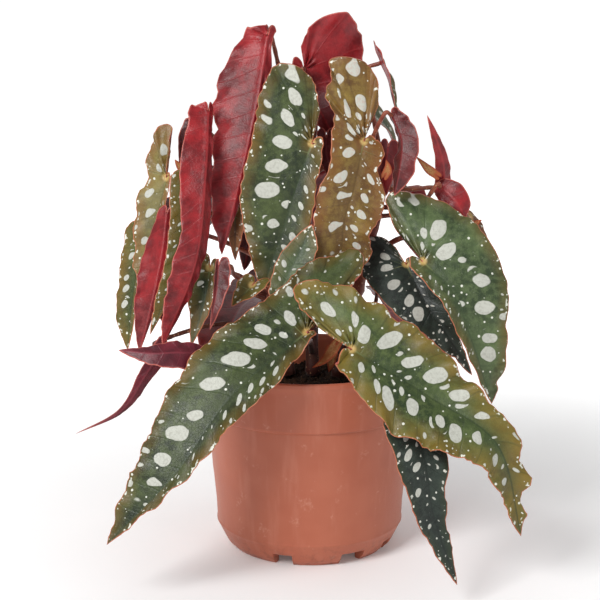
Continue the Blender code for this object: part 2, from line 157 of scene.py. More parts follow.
def waves(points: np.ndarray, size: float, seed: int, count: int = 12) -> np.ndarray:
    """Soft random bumps: the mean of sines of (direction . point) 2 pi / size + phase over seeded directions.

    Args:
        points: the points, in millimetres.
        size: how long a bump is, in millimetres.
        seed: which bumps.
        count: how many sines.

    Returns:
        A number for each point, mostly between -1 and 1.
    """
    random = np.random.default_rng(seed)
    ways = random.normal(size=(count, points.shape[-1]))
    ways /= np.linalg.norm(ways, axis=1)[:, None]
    pace = random.uniform(0.7, 1.4, count) * 2 * math.pi / size
    phase = random.uniform(0, 2 * math.pi, count)
    return np.sin(points @ (ways * pace[:, None]).T + phase).sum(-1) * math.sqrt(2 / count)


@dataclass
class Skin:
    """A surface on its way to a mesh: points in millimetres, triangles, and what its materials read."""

    points: np.ndarray
    triangles: np.ndarray
    slots: np.ndarray | None = None
    corner_map: np.ndarray | None = None
    marks: dict[str, np.ndarray] = field(default_factory=dict)

    def make(self, name: str, node: str, slot: str, finishes: list[bpy.types.Material]) -> bpy.types.Object:
        """Makes the finished piece, which stands for a CAD node.

        Args:
            name: the piece's name.
            node: the CAD node it stands for.
            slot: not used.
            finishes: its materials, in the order of slots.

        Returns:
            The new object, riding on the root body.
        """
        mesh = bpy.data.meshes.new(name)
        mesh.from_pydata((self.points * MM).tolist(), [], self.triangles.tolist())
        mesh.polygons.foreach_set("use_smooth", np.ones(len(self.triangles), bool))
        if self.slots is not None:
            mesh.polygons.foreach_set("material_index", self.slots.astype(np.int32))
        if self.corner_map is not None:
            layer = mesh.uv_layers.new(name="veins")
            layer.data.foreach_set("uv", self.corner_map.astype(np.float32).ravel())
        for mark, values in self.marks.items():
            mesh.attributes.new(mark, "FLOAT", "POINT").data.foreach_set("value", values.astype(np.float32))
        for finish in finishes:
            mesh.materials.append(finish)
        mesh.update()
        piece = bpy.data.objects.new(name, mesh)
        bpy.context.scene.collection.objects.link(piece)
        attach(piece, "root")
        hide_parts(node)
        LOG.info("%s: %d triangles", name, len(self.triangles))
        return piece


# ---------------------------------------------------------------- finishes


def paint(code: str) -> tuple[float, float, float, float]:
    """A colour code such as 8a5a30 as a linear colour."""
    parts = [int(code[i : i + 2], 16) / 255 for i in (0, 2, 4)]
    return (*(p / 12.92 if p <= 0.04045 else ((p + 0.055) / 1.055) ** 2.4 for p in parts), 1.0)


class Bench:
    """Places and joins the nodes of one node tree."""

    def __init__(self, tree: bpy.types.NodeTree) -> None:
        """Starts work on this tree."""
        self.tree = tree

    def put(self, kind: str, sockets: dict | None = None, **settings: object) -> bpy.types.Node:
        """Adds a node.

        Args:
            kind: the node type's identifier.
            sockets: what goes into its inputs, by name or number: another node's output or a constant.
            settings: its own settings.

        Returns:
            The node.
        """
        node = self.tree.nodes.new(kind)
        for key, value in settings.items():
            setattr(node, key, value)
        for key, value in (sockets or {}).items():
            self.feed(node.inputs[key], value)
        return node

    def feed(self, socket: bpy.types.NodeSocket, value: object) -> None:
        """Joins an output to the socket, or sets it to a constant."""
        if isinstance(value, bpy.types.NodeSocket):
            self.tree.links.new(value, socket)
        else:
            socket.default_value = value

    def math(self, operation: str, *values: object) -> bpy.types.NodeSocket:
        """The output of a Math node over these values."""
        return self.put("ShaderNodeMath", dict(enumerate(values)), operation=operation).outputs[0]

    def step(self, value: object, low: object, high: object, start: float = 0.0,
             end: float = 1.0) -> bpy.types.NodeSocket:
        """A smooth step of value from start at low to end at high."""
        sockets = {"Value": value, "From Min": low, "From Max": high, "To Min": start, "To Max": end}
        return self.put("ShaderNodeMapRange", sockets, interpolation_type="SMOOTHSTEP").outputs[0]

    def mix(self, amount: object, first: object, second: object, blend: str = "MIX") -> bpy.types.NodeSocket:
        """The mix of two colours by this amount."""
        node = self.put("ShaderNodeMix", {0: amount, 6: first, 7: second}, data_type="RGBA", blend_type=blend)
        return node.outputs[2]

    def noise(self, vector: bpy.types.NodeSocket, scale: object, detail: float = 3.0,
              rough: float = 0.55) -> bpy.types.NodeSocket:
        """A noise value from 0 to 1 at this scale."""
        sockets = {"Vector": vector, "Scale": scale, "Detail": detail, "Roughness": rough}
        return self.put("ShaderNodeTexNoise", sockets).outputs[0]


@dataclass(frozen=True)
class Socket:
    """One named input or output of a node group."""

    name: str
    kind: str = "NodeSocketFloat"
    value: object = None


def make_group(name: str, inputs: tuple[Socket, ...],
               outputs: tuple[Socket, ...]) -> tuple[Bench, bpy.types.Node, bpy.types.Node]:
    """Starts a node group.

    Args:
        name: what the group is called.
        inputs: its inputs, with their usual values.
        outputs: its outputs.

    Returns:
        The bench for its nodes, the node of its inputs and the node of its outputs.
    """
    tree = bpy.data.node_groups.new(name, "ShaderNodeTree")
    for items, way in ((inputs, "INPUT"), (outputs, "OUTPUT")):
        for item in items:
            socket = tree.interface.new_socket(item.name, in_out=way, socket_type=item.kind)
            if item.value is not None:
                socket.default_value = item.value
    bench = Bench(tree)
    return bench, bench.put("NodeGroupInput"), bench.put("NodeGroupOutput")


class Effects:
    """The effects that several finishes share, each a node group made once."""

    def __init__(self) -> None:
        """Makes the groups."""
        self.spots = self.make_spots()
        self.veins = self.make_veins()
        self.patches = self.make_patches()
        self.grain = self.make_grain()

    def make_spots(self) -> bpy.types.NodeTree:
        """Oval spots between the lateral veins, small dots and a broken line of flecks at the margin.

        Returns:
            The group, which turns vein places and distances in millimetres into three masks.
        """
        bench, given, out = make_group(
            "polka_spots",
            (Socket("Veins", "NodeSocketVector"), Socket("Place", "NodeSocketVector"), Socket("Edge"), Socket("Rib"),
             Socket("Size", value=1.0), Socket("Dots", value=1.0)),
            (Socket("Spots"), Socket("Dots"), Socket("Flecks")),
        )
        veins, place, edge, rib = (given.outputs[i] for i in range(4))
        bend = bench.put("ShaderNodeTexNoise", {"Vector": place, "Scale": 190.0, "Detail": 1.0})
        push = bench.put("ShaderNodeVectorMath", {0: bend.outputs["Color"], 1: (0.5, 0.5, 0.5)}, operation="SUBTRACT")
        push = bench.put("ShaderNodeVectorMath", {0: push.outputs[0], "Scale": 0.12}, operation="SCALE")
        bent = bench.put("ShaderNodeVectorMath", {0: veins, 1: push.outputs[0]}, operation="ADD").outputs[0]
        near_edge, near_rib = bench.step(edge, 0.8, 7.0, 0.3), bench.step(rib, 1.0, 7.5, 0.2)
        cells = bench.put("ShaderNodeTexVoronoi", {"Vector": bent, "Scale": 1.0, "Randomness": 0.42},
                          voronoi_dimensions="2D")
        chance = bench.put("ShaderNodeSeparateColor", {0: cells.outputs["Color"]})
        radius = bench.math("MULTIPLY", bench.math("MULTIPLY_ADD", chance.outputs[0], 0.15, 0.22),
                            given.outputs["Size"])
        radius = bench.math("MULTIPLY", bench.math("MULTIPLY", radius, near_edge), near_rib)
        big_gap = bench.math("SUBTRACT", cells.outputs["Distance"], radius)
        big = bench.step(big_gap, 0.016, -0.016)
        second = bench.put("ShaderNodeTexVoronoi", {"Vector": bent, "Scale": 2.0, "Randomness": 0.7},
                           voronoi_dimensions="2D")
        odds = bench.put("ShaderNodeSeparateColor", {0: second.outputs["Color"]})
        radius = bench.math("MULTIPLY", bench.math("MULTIPLY_ADD", odds.outputs[0], 0.30, 0.04), given.outputs["Size"])
        radius = bench.math("MULTIPLY", radius, bench.step(odds.outputs[1], 0.60, 0.68))
        gap = bench.math("SUBTRACT", second.outputs["Distance"], radius)
        middle = bench.math("MULTIPLY", bench.step(gap, 0.03, -0.03), bench.step(big_gap, 0.16, 0.19))
        middle = bench.math("MULTIPLY", middle,
                            bench.math("MULTIPLY", bench.step(edge, 0.9, 1.6), bench.step(rib, 1.0, 1.8)))
        bench.feed(out.inputs["Spots"], bench.math("MAXIMUM", big, middle))
        small = bench.put("ShaderNodeTexVoronoi", {"Vector": place, "Scale": 235.0, "Randomness": 1.0})
        kind = bench.put("ShaderNodeSeparateColor", {0: small.outputs["Color"]})
        dot = bench.math("MULTIPLY", bench.math("MULTIPLY_ADD", kind.outputs[0], 0.13, 0.05), given.outputs["Dots"])
        gap = bench.math("SUBTRACT", small.outputs["Distance"], dot)
        apart = bench.step(big_gap, 0.04, 0.10)
        bench.feed(out.inputs["Dots"], bench.math("MULTIPLY", bench.step(gap, 0.03, -0.03), apart))
        flecks = bench.step(bench.noise(place, 330.0, 2.0), 0.60, 0.635)
        margin = bench.math("MULTIPLY", bench.step(edge, 2.4, 1.6), bench.step(edge, 0.3, 0.8))
        bench.feed(out.inputs["Flecks"], bench.math("MULTIPLY", flecks, margin))
        return bench.tree

    def make_veins(self) -> bpy.types.NodeTree:
        """Lateral veins at whole numbers of the vein map's first coordinate, fine cross veins, and the midrib.

        Returns:
            The group, with the masks of the laterals, the fine net and the midrib.
        """
        bench, given, out = make_group(
            "blade_veins",
            (Socket("Veins", "NodeSocketVector"), Socket("Place", "NodeSocketVector"), Socket("Rib")),
            (Socket("Lateral"), Socket("Net"), Socket("Midrib")),
        )
        across = bench.put("ShaderNodeSeparateXYZ", {0: given.outputs[0]}).outputs[0]
        wander = bench.math("MULTIPLY_ADD", bench.noise(given.outputs[1], 90.0, 1.0), 0.16, -0.08)
        away = bench.math("PINGPONG", bench.math("ADD", across, wander), 0.5)
        bench.feed(out.inputs["Lateral"], bench.step(away, 0.055, 0.005))
        net = bench.put("ShaderNodeTexVoronoi", {"Vector": given.outputs[1], "Scale": 620.0},
                        feature="DISTANCE_TO_EDGE")
        bench.feed(out.inputs["Net"], bench.step(net.outputs["Distance"], 0.10, 0.0))
        bench.feed(out.inputs["Midrib"], bench.step(given.outputs[2], 0.75, 0.2))
        return bench.tree

    def make_patches(self) -> bpy.types.NodeTree:
        """Soft patches of colour from two sizes of noise.

        Returns:
            The group, with one mask.
        """
        bench, given, out = make_group(
            "colour_patches",
            (Socket("Place", "NodeSocketVector"), Socket("Scale", value=60.0), Socket("Low", value=0.35),
             Socket("High", value=0.65)),
            (Socket("Patches"),),
        )
        wide = bench.noise(given.outputs[0], given.outputs[1], 3.0)
        near = bench.noise(given.outputs[0], bench.math("MULTIPLY", given.outputs[1], 4.7), 2.0)
        both = bench.math("MULTIPLY_ADD", near, 0.3, bench.math("MULTIPLY", wide, 0.7))
        bench.feed(out.inputs[0], bench.step(both, given.outputs[2], given.outputs[3]))
        return bench.tree

    def make_grain(self) -> bpy.types.NodeTree:
        """Fine surface grain, as a height.

        Returns:
            The group, with the grain's height.
        """
        bench, given, out = make_group(
            "fine_grain",
            (Socket("Place", "NodeSocketVector"), Socket("Scale", value=900.0), Socket("Amount", value=1.0)),
            (Socket("Height"),),
        )
        fine = bench.noise(given.outputs[0], given.outputs[1], 4.0, 0.6)
        bench.feed(out.inputs[0], bench.math("MULTIPLY", bench.math("SUBTRACT", fine, 0.5), given.outputs[2]))
        return bench.tree


class Finish:
    """A material with its Principled shader, and the places that its patterns read."""

    def __init__(self, name: str, roughness: float, **constants: object) -> None:
        """Makes the material.

        Args:
            name: the material's name.
            roughness: the shader's roughness where nothing changes it.
            constants: other shader sockets, with spaces as underscores.
        """
        self.material = bpy.data.materials.new(name)
        self.material.use_nodes = True
        self.bench = Bench(self.material.node_tree)
        self.shader = self.material.node_tree.nodes["Principled BSDF"]
        self.shader.inputs["Roughness"].default_value = roughness
        for key, value in constants.items():
            self.shader.inputs[key.replace("_", " ")].default_value = value
        self.place = self.bench.put("ShaderNodeTexCoord").outputs["Object"]

    def use(self, group: bpy.types.NodeTree, sockets: dict) -> bpy.types.Node:
        """Places a shared effect with its own values."""
        return self.bench.put("ShaderNodeGroup", sockets, node_tree=group)

    def mark(self, name: str) -> bpy.types.NodeSocket:
        """The value that the piece carries under this name."""
        return self.bench.put("ShaderNodeAttribute", attribute_name=name).outputs["Fac"]

    def dress(self, color: object, rough: object = None, height: object = None, strength: float = 0.3,
              depth: float = 0.0006) -> bpy.types.Material:
        """Joins the patterns to the shader.

        Args:
            color: the base colour.
            rough: the roughness, where it changes.
            height: the bump's height, from about -1 to 1.
            strength: how much of the bump shows.
            depth: how deep a height of 1 is, in metres.

        Returns:
            The material.
        """
        self.bench.feed(self.shader.inputs["Base Color"], color)
        if rough is not None:
            self.bench.feed(self.shader.inputs["Roughness"], rough)
        if height is not None:
            bump = self.bench.put("ShaderNodeBump", {"Height": height, "Strength": strength, "Distance": depth})
            self.bench.feed(self.shader.inputs["Normal"], bump.outputs[0])
        return self.material


class Tone(Enum):
    """The colourings of the upper side, one of them a darker copy of the green that paints shade on blades in shade."""

    GREEN = "green"
    # painted shade: a darker, greyer copy of the green, given to blades that sit in shade
    DEEP = "deep"
    GREY = "grey"
    OLIVE = "olive"
    GOLDEN_GREEN = "golden_green"
    GOLD = "gold"
    TAN = "tan"
    BROWN = "brown"


class Under(Enum):
    """The colourings of the underside, one of them a darker copy of the red that paints shade on blades in shade."""

    BRIGHT = "bright"
    # painted shade: a darker copy of the red underside, given to blades that sit in shade
    DARK = "dark"
    PLUM = "plum"
    TAN = "tan"


@dataclass(frozen=True)
class UpperFinish:
    """The spotted upper side: deep and body colours, the colour towards the margin, and its spots."""

    deep: str
    body: str
    rim: str
    light: str
    rim_reach: float = 9.0
    spot: str = "b8b9af"
    shade: str = "99988d"
    vein: str = "2b3a20"
    line: str = "b8694a"
    size: float = 0.9

    def make(self, name: str, effects: Effects) -> bpy.types.Material:
        """Makes the material.

        Args:
            name: the material's name.
            effects: the shared effects.

        Returns:
            The material of the upper side.
        """
        finish = Finish(name, 0.44, Specular_IOR_Level=0.36, Sheen_Weight=0.05, Sheen_Roughness=0.4)
        bench, place = finish.bench, finish.place
        edge, rib, core = finish.mark("edge"), finish.mark("rib"), finish.mark("core")
        chart = bench.put("ShaderNodeUVMap", uv_map="veins").outputs[0]
        veins = finish.use(effects.veins, {"Veins": chart, "Place": place, "Rib": rib}).outputs
        spots = finish.use(effects.spots,
                           {"Veins": chart, "Place": place, "Edge": edge, "Rib": rib, "Size": self.size}).outputs
        patches = finish.use(effects.patches, {"Place": place, "Scale": 42.0, "Low": 0.38, "High": 0.62}).outputs[0]
        flush = finish.use(effects.patches, {"Place": place, "Scale": 26.0, "Low": 0.30, "High": 0.62}).outputs[0]
        color = bench.mix(patches, paint(self.deep), paint(self.body))
        speck = finish.use(effects.patches, {"Place": place, "Scale": 330.0, "Low": 0.42, "High": 0.62}).outputs[0]
        color = bench.mix(bench.math("MULTIPLY", speck, 0.32), color, paint(self.light))
        color = bench.mix(bench.math("MULTIPLY", veins[1], 0.15), color, paint(self.vein))
        deep = bench.math("MULTIPLY", bench.step(rib, 9.0, 0.5), bench.math("MULTIPLY_ADD", flush, 0.45, 0.1))
        color = bench.mix(deep, color, paint(self.deep))
        near = bench.step(edge, self.rim_reach, 0.5)
        color = bench.mix(bench.math("MULTIPLY", near, bench.math("MULTIPLY_ADD", flush, 0.75, 0.15)), color,
                          paint(self.rim))
        color = bench.mix(bench.math("MULTIPLY", veins[0], 0.28), color, paint(self.vein))
        color = bench.mix(bench.math("MULTIPLY", veins[2], 0.5), color, paint(self.vein))
        rays = bench.math("MULTIPLY", bench.math("MAXIMUM", veins[0], veins[2]), bench.step(core, 11.0, 3.0))
        color = bench.mix(bench.math("MULTIPLY", rays, 0.4), color, paint("808755"))
        mottle = bench.step(bench.noise(place, 700.0, 3.0), 0.42, 0.70)
        white = bench.mix(bench.math("MULTIPLY", mottle, 0.55), paint(self.spot), paint(self.shade))
        color = bench.mix(spots[0], color, white)
        color = bench.mix(bench.math("MAXIMUM", spots[1], spots[2]), color, paint("d4d5c9"))
        color = bench.mix(bench.step(core, 3.2, 1.2), color, paint("b89a5c"))
        color = bench.mix(bench.math("MULTIPLY", bench.step(edge, 0.6, 0.35), 0.85), color, paint(self.line))
        grain = finish.use(effects.grain, {"Place": place, "Scale": 1500.0, "Amount": 0.5}).outputs[0]
        height = bench.math("MULTIPLY_ADD", veins[0], -0.5, grain)
        height = bench.math("MULTIPLY_ADD", veins[1], -0.22, height)
        height = bench.math("MULTIPLY_ADD", spots[0], 0.35, height)
        rough = bench.math("MULTIPLY_ADD", spots[0], 0.10, bench.math("MULTIPLY_ADD", patches, 0.08, 0.36))
        return finish.dress(color, rough, height, 0.5, 0.0004)


@dataclass(frozen=True)
class UnderFinish:
    """The red underside: its colour, its shade between the veins, and its bloom."""

    body: str
    shade: str
    vein: str
    bloom: str

    def make(self, name: str, effects: Effects) -> bpy.types.Material:
        """Makes the material.

        Args:
            name: the material's name.
            effects: the shared effects.

        Returns:
            The material of the underside.
        """
        finish = Finish(name, 0.48, Specular_IOR_Level=0.38, Sheen_Weight=0.06, Sheen_Roughness=0.35)
        bench, place = finish.bench, finish.place
        edge, rib = finish.mark("edge"), finish.mark("rib")
        chart = bench.put("ShaderNodeUVMap", uv_map="veins").outputs[0]
        veins = finish.use(effects.veins, {"Veins": chart, "Place": place, "Rib": rib}).outputs
        patches = finish.use(effects.patches, {"Place": place, "Scale": 42.0, "Low": 0.38, "High": 0.64}).outputs[0]
        bloom = finish.use(effects.patches, {"Place": place, "Scale": 95.0, "Low": 0.52, "High": 0.72}).outputs[0]
        color = bench.mix(patches, paint(self.shade), paint(self.body))
        color = bench.mix(bench.math("MULTIPLY", bloom, 0.35), color, paint(self.bloom))
        color = bench.mix(bench.math("MULTIPLY", veins[1], 0.2), color, paint(self.shade))
        lines = bench.math("MAXIMUM", bench.math("MULTIPLY", veins[0], 0.35), veins[2])
        color = bench.mix(bench.math("MULTIPLY", lines, 0.5), color, paint(self.vein))
        color = bench.mix(bench.math("MULTIPLY", bench.step(edge, 0.8, 0.4), 0.6), color, paint("c4685a"))
        grain = finish.use(effects.grain, {"Place": place, "Scale": 1100.0, "Amount": 0.6}).outputs[0]
        folds = bench.noise(place, 150.0, 3.0)
        height = bench.math("MULTIPLY_ADD", folds, 1.2, grain)
        height = bench.math("MULTIPLY_ADD", veins[0], 0.35, height)
        rough = bench.math("MULTIPLY_ADD", bloom, 0.14, 0.38)
        return finish.dress(color, rough, height, 0.5, 0.0006)


UPPER_FINISHES = {
    Tone.GREEN: UpperFinish("1b2512", "3b4620", "654e1a", "606d40"),
    # painted shade: the green darkened for blades that sit in shade
    Tone.DEEP: UpperFinish("171e1a", "2b352d", "2f3824", "445046", 5.0, vein="161d19"),
    Tone.GREY: UpperFinish("2c3a22", "4f6039", "5c5024", "748458", 8.0),
    Tone.OLIVE: UpperFinish("2f3a1a", "545e2b", "6d541c", "757d45", 11.0, vein="2f3518"),
    Tone.GOLDEN_GREEN: UpperFinish("24331a", "47562b", "7d6522", "6f7c48", 15.0, vein="223014"),
    Tone.GOLD: UpperFinish("573b19", "7d672c", "754a20", "9a8340", 10.0, vein="4a3514", shade="b89a8a"),
    Tone.TAN: UpperFinish("565026", "7c7239", "855a32", "93894f", 9.0, vein="4a431e"),
    Tone.BROWN: UpperFinish("3a1d10", "6b4222", "8a5a34", "8b6236", 8.0, vein="2c150b", spot="b09880", shade="8c6a4c",
                            size=0.6),
}
UNDER_FINISHES = {
    Under.BRIGHT: UnderFinish("941a20", "5a0c12", "9a2a2c", "a23a3c"),
    # painted shade: the red underside darkened for blades that sit in shade
    Under.DARK: UnderFinish("641416", "380a0c", "7c2628", "7c3838"),
    Under.PLUM: UnderFinish("6c1e2b", "46111c", "84343f", "8a4e57"),
    Under.TAN: UnderFinish("8a4428", "5e2a1a", "a8644a", "a87860"),
}


@dataclass(frozen=True)
class Growth:
    """How one blade grew: its colouring, which on blades in shade is a darker copy that paints shade, and how far it
    ruffles, curls and puffs between its veins.
    """

    tone: Tone = Tone.GREEN
    under: Under = Under.BRIGHT
    ruffle: float = 0.9
    curl: float = 0.0022
    puff: float = 0.3
    pitch: float = 1.0
    lobed: float = 0.35


@dataclass
class Leaf:
    """One blade.

    rib holds four points of the midrib from the stalk's end to the tip, and face where the upper side
    looks, as degrees round from the front and degrees up. left and right give the half widths at three
    quarters, half and a quarter of the length and at the stalk, how far the base lobe reaches back, and how
    far out it ends. fold is how steeply each half rises, and swing how far the lobes lean aside.
    """

    name: str
    rib: tuple
    face: tuple
    left: tuple
    right: tuple
    fold: tuple = (10.0, 10.0)
    swing: float = 0.0
    fine: int = 1
    thick: float = 0.6

    FAN = (1.0, 0.93, 0.70, 0.42, 0.14, 0.0, 0.0, 0.0, 0.0, 0.0, 0.0)

    def look(self) -> np.ndarray:
        """The unit vector that the upper side looks along."""
        turn, rise = np.radians(self.face)
        return np.array([math.sin(turn) * math.cos(rise), -math.cos(turn) * math.cos(rise), math.sin(rise)])

    def frames(self) -> tuple[np.ndarray, ...]:
        """Follows the midrib.

        Returns:
            Distances along it, its points, its way, the way to the left half, and the upper side's normal.
        """
        points = spline(np.array(self.rib), np.linspace(0, 3, 61))
        arc = np.concatenate([[0.0], np.cumsum(np.linalg.norm(np.diff(points, axis=0), axis=1))])
        along = np.gradient(points, axis=0)
        along /= np.linalg.norm(along, axis=1)[:, None]
        side = np.cross(along, self.look())
        side /= np.linalg.norm(side, axis=1)[:, None]
        return arc, points, along, side, np.cross(side, along)

    def outline(self, length: float, measures: tuple, at: np.ndarray) -> np.ndarray:
        """A half blade's outline from the tip round the base lobe to the stalk.

        Args:
            length: the midrib's length.
            measures: the half's six measures.
            at: where to read it, from 0 at the tip to 10 at the stalk.

        Returns:
            Distances along and across the midrib.
        """
        w75, w50, w25, w0, back, out = measures
        along = (length, 0.93 * length, 0.75 * length, 0.5 * length, 0.25 * length, 0.0,
                 -0.5 * back, -0.9 * back, -back, -0.88 * back, -0.5 * back)
        across = (0.0, 0.36 * w75, w75, w50, w25, w0,
                  0.5 * (w0 + out) + 0.1 * back, out + 0.05 * back, 0.72 * out, 0.35 * out, 0.06 * out)
        return spline(np.stack([along, across], -1), at)

    def bend(self, frames: tuple[np.ndarray, ...], s: np.ndarray, t: np.ndarray, lift: np.ndarray) -> np.ndarray:
        """Carries flat places into space: midrib(s) + side t cos(fold) + normal (|t| sin(fold) + lift).

        Behind the stalk, the midrib goes straight on backwards and the lobes lean aside by swing.

        Args:
            frames: what frames() gives.
            s: distances along the midrib.
            t: distances across it, positive on the left.
            lift: heights over the folded sheet.

        Returns:
            The points, in millimetres.
        """
        arc, points, along, side, normal = frames
        back = np.maximum(-s, 0.0)
        t = t + self.swing * back
        fold = np.radians(np.where(t > 0, self.fold[0], self.fold[1]))
        round_t = np.sqrt(t * t + 0.8) - math.sqrt(0.8)
        read = [np.stack([np.interp(s, arc, f[:, i]) for i in range(3)], -1) for f in (points, side, normal)]
        flat, high = t * np.cos(fold), round_t * np.sin(fold) + lift
        return read[0] - back[..., None] * along[0] + flat[..., None] * read[1] + high[..., None] * read[2]

    def half(self, sign: int, length: float, growth: Growth, seed: int) -> dict[str, np.ndarray]:
        """One half of the blade as a flat fan of rays from the midrib and the stalk's end to the outline.

        A point at fraction f of ray i lies at start_i + f (end_i - start_i). The vein map's first coordinate
        counts the spacing of the rays at f = 0.6 in lateral veins, and its second is the integral of the
        distance along the ray over the local vein spacing, so that its cells stay square.

        Args:
            sign: 1 for the left half, -1 for the right.
            length: the midrib's length.
            growth: how the blade grew.
            seed: which small irregularities.

        Returns:
            Arrays of rays by columns: s, t, the vein map u and v, and the distance to the margin.
        """
        measures = self.left if sign > 0 else self.right
        rays, columns = (150, 26) if self.fine > 1 else (88, 16)
        at = np.linspace(0, 10, rays + 1)
        start = np.clip(np.interp(at, np.arange(11.0), self.FAN), 0, 1) * length
        end = self.outline(length, measures, at)
        end[:, 1] = np.maximum(end[:, 1], 0.0)
        path = np.concatenate([[0.0], np.cumsum(np.linalg.norm(np.diff(end, axis=0), axis=1))])
        uneven = waves(path[:, None], 7.0, seed + 40 + sign, 6) * smooth_step(path, 0, 9) * smooth_step(10 - at, 0, 0.6)
        lobed = (waves(path[:, None], 24.0, seed + 60 + sign, 4) * smooth_step(path, 4, 16)
                 * smooth_step(10 - at, 0, 1.5))
        end[:, 1] += (min(1.0, max(measures) / 20) * (0.28 * uneven + growth.lobed * lobed)
                      * smooth_step(end[:, 1], 0.5, 4))
        f = np.concatenate([np.linspace(0, 0.965, columns), [0.988, 1.0]])
        origin = np.stack([start, np.zeros_like(start)], -1)
        reach = end - origin
        place = origin[:, None] + reach[:, None] * f[None, :, None]
        width = np.linalg.norm(np.gradient(place, axis=0), axis=-1)
        pitch = growth.pitch * float(np.clip(0.47 * max(measures[:5]), 9.0, 14.5))
        row = int(np.searchsorted(f, 0.6))
        u = np.concatenate([[0.0], np.cumsum(0.5 * (width[1:, row] + width[:-1, row]))]) / pitch
        local = np.clip(pitch * width / np.maximum(width[:, row : row + 1], 1e-6), 0.5 * pitch, 1.5 * pitch)
        pace = np.linalg.norm(reach, axis=1)[:, None] / local
        v = np.concatenate([np.zeros((rays + 1, 1)),
                            np.cumsum(0.5 * (pace[:, 1:] + pace[:, :-1]) * np.diff(f), axis=1)], 1)
        v -= v[:, row : row + 1]
        rim = np.concatenate([end, origin[-1] + reach[-1] * np.linspace(0, 1, 12)[:, None]])
        flat = place.reshape(-1, 2)
        edge = np.sqrt(((flat[:, None, :] - rim[None, ::1]) ** 2).sum(-1).min(1)).reshape(place.shape[:2])
        return {
            "s": place[..., 0], "t": sign * place[..., 1], "edge": edge, "path": np.repeat(path[:, None], len(f), 1),
            "u": np.repeat(u[:, None], len(f), 1) + 0.5 + 20 * (seed % 37) + 9 * (sign > 0),
            "v": 0.66 * v + 0.5 + 14 * (seed % 23),
        }

    def skin(self, growth: Growth, seed: int) -> Skin:
        """The blade as a thin closed body: its two halves welded, thickened to both sides and sharp at the margin.

        The sheet is lifted by puff |sin(pi u)| between the lateral veins, by ruffle sin(path) towards the
        margin, and by -curl t^2 across, and its underside carries the midrib as a ridge.

        Args:
            growth: how the blade grew.
            seed: which small irregularities.

        Returns:
            The skin, with its upper side in slot 0 and its underside in slot 1.
        """
        frames = self.frames()
        length = float(frames[0][-1])
        wide = max(*self.left[:5], *self.right[:5])
        scale = min(1.0, wide / 22)
        parts, tables, count = [], [], 0
        for sign in (1, -1):
            half = self.half(sign, length, growth, seed)
            rows, columns = half["s"].shape
            turned = grid_triangles(rows, columns) + count
            tables.append(turned[:, ::-1] if sign > 0 else turned)
            parts.append(half)
            count += rows * columns
        s, t, edge, path, u, v = (np.concatenate([p[key].ravel() for p in parts])
                                  for key in ("s", "t", "edge", "path", "u", "v"))
        rib = np.where(s >= 0, np.abs(t), np.hypot(s, t))
        core = np.hypot(s, t)
        open_field = smooth_step(edge, 0.0, 6.0) * smooth_step(rib, 0.0, 8.0)
        lift = growth.puff * scale * (np.abs(np.sin(np.pi * u)) - 0.5) * open_field
        lift -= growth.curl * t * t
        frill = (smooth_step(8.0 * scale + 2.0 - edge, 0.0, 8.0 * scale + 2.0)
                 * smooth_step(length - s, 0, 12) * smooth_step(rib, 0.5, 5))
        lift += growth.ruffle * scale * frill * waves(path[:, None], 17.0 * scale + 4, seed + 5, 5)
        lift += 0.5 * scale * waves(np.stack([s, t], -1), 34.0, seed + 9, 6) * smooth_step(rib, 1, 12)
        middle = self.bend(frames, s, t, lift)
        triangles = np.concatenate(tables)
        index, first, whole = weld(middle, triangles)
        corners, source = index[triangles][whole], triangles[whole]
        middle = middle[first]
        normals = point_normals(middle, corners)
        if float((normals @ self.look()).mean()) < 0:
            corners, source, normals = corners[:, ::-1], source[:, ::-1], -normals
        open_rim = edge[first] > 0.02
        body = 0.5 * self.thick * smooth_step(edge[first], 0.0, 0.9) ** 0.5 * open_rim
        ridge = np.clip(1 - s[first] / length, 0, 1) * np.exp(-((rib[first] / (0.9 + 0.5 * scale)) ** 2)) * open_rim
        top = middle + normals * (body - 0.25 * scale * ridge)[:, None]
        low = middle - normals * (body + 0.9 * scale * ridge)[:, None]
        other = np.where(open_rim, len(middle) + np.arange(len(middle)), np.arange(len(middle)))
        points = np.concatenate([top, low])
        faces = np.concatenate([corners, other[corners][:, ::-1]])
        used, faces = np.unique(faces, return_inverse=True)
        faces = faces.reshape(-1, 3)
        chart = np.concatenate([source, source[:, ::-1]])
        marks = {key: np.concatenate([value[first], value[first]])[used]
                 for key, value in (("edge", edge), ("rib", rib), ("core", core))}
        slots = np.repeat([0, 1], len(corners))
        return Skin(points[used], faces, slots, np.stack([u, v], -1)[chart].reshape(-1, 2), marks)


def small(width: float, lobe: float) -> tuple:
    """The six measures of a plain half blade of this half width and base lobe."""
    return (0.42 * width, 0.75 * width, width, 0.9 * width, lobe, 0.6 * width)


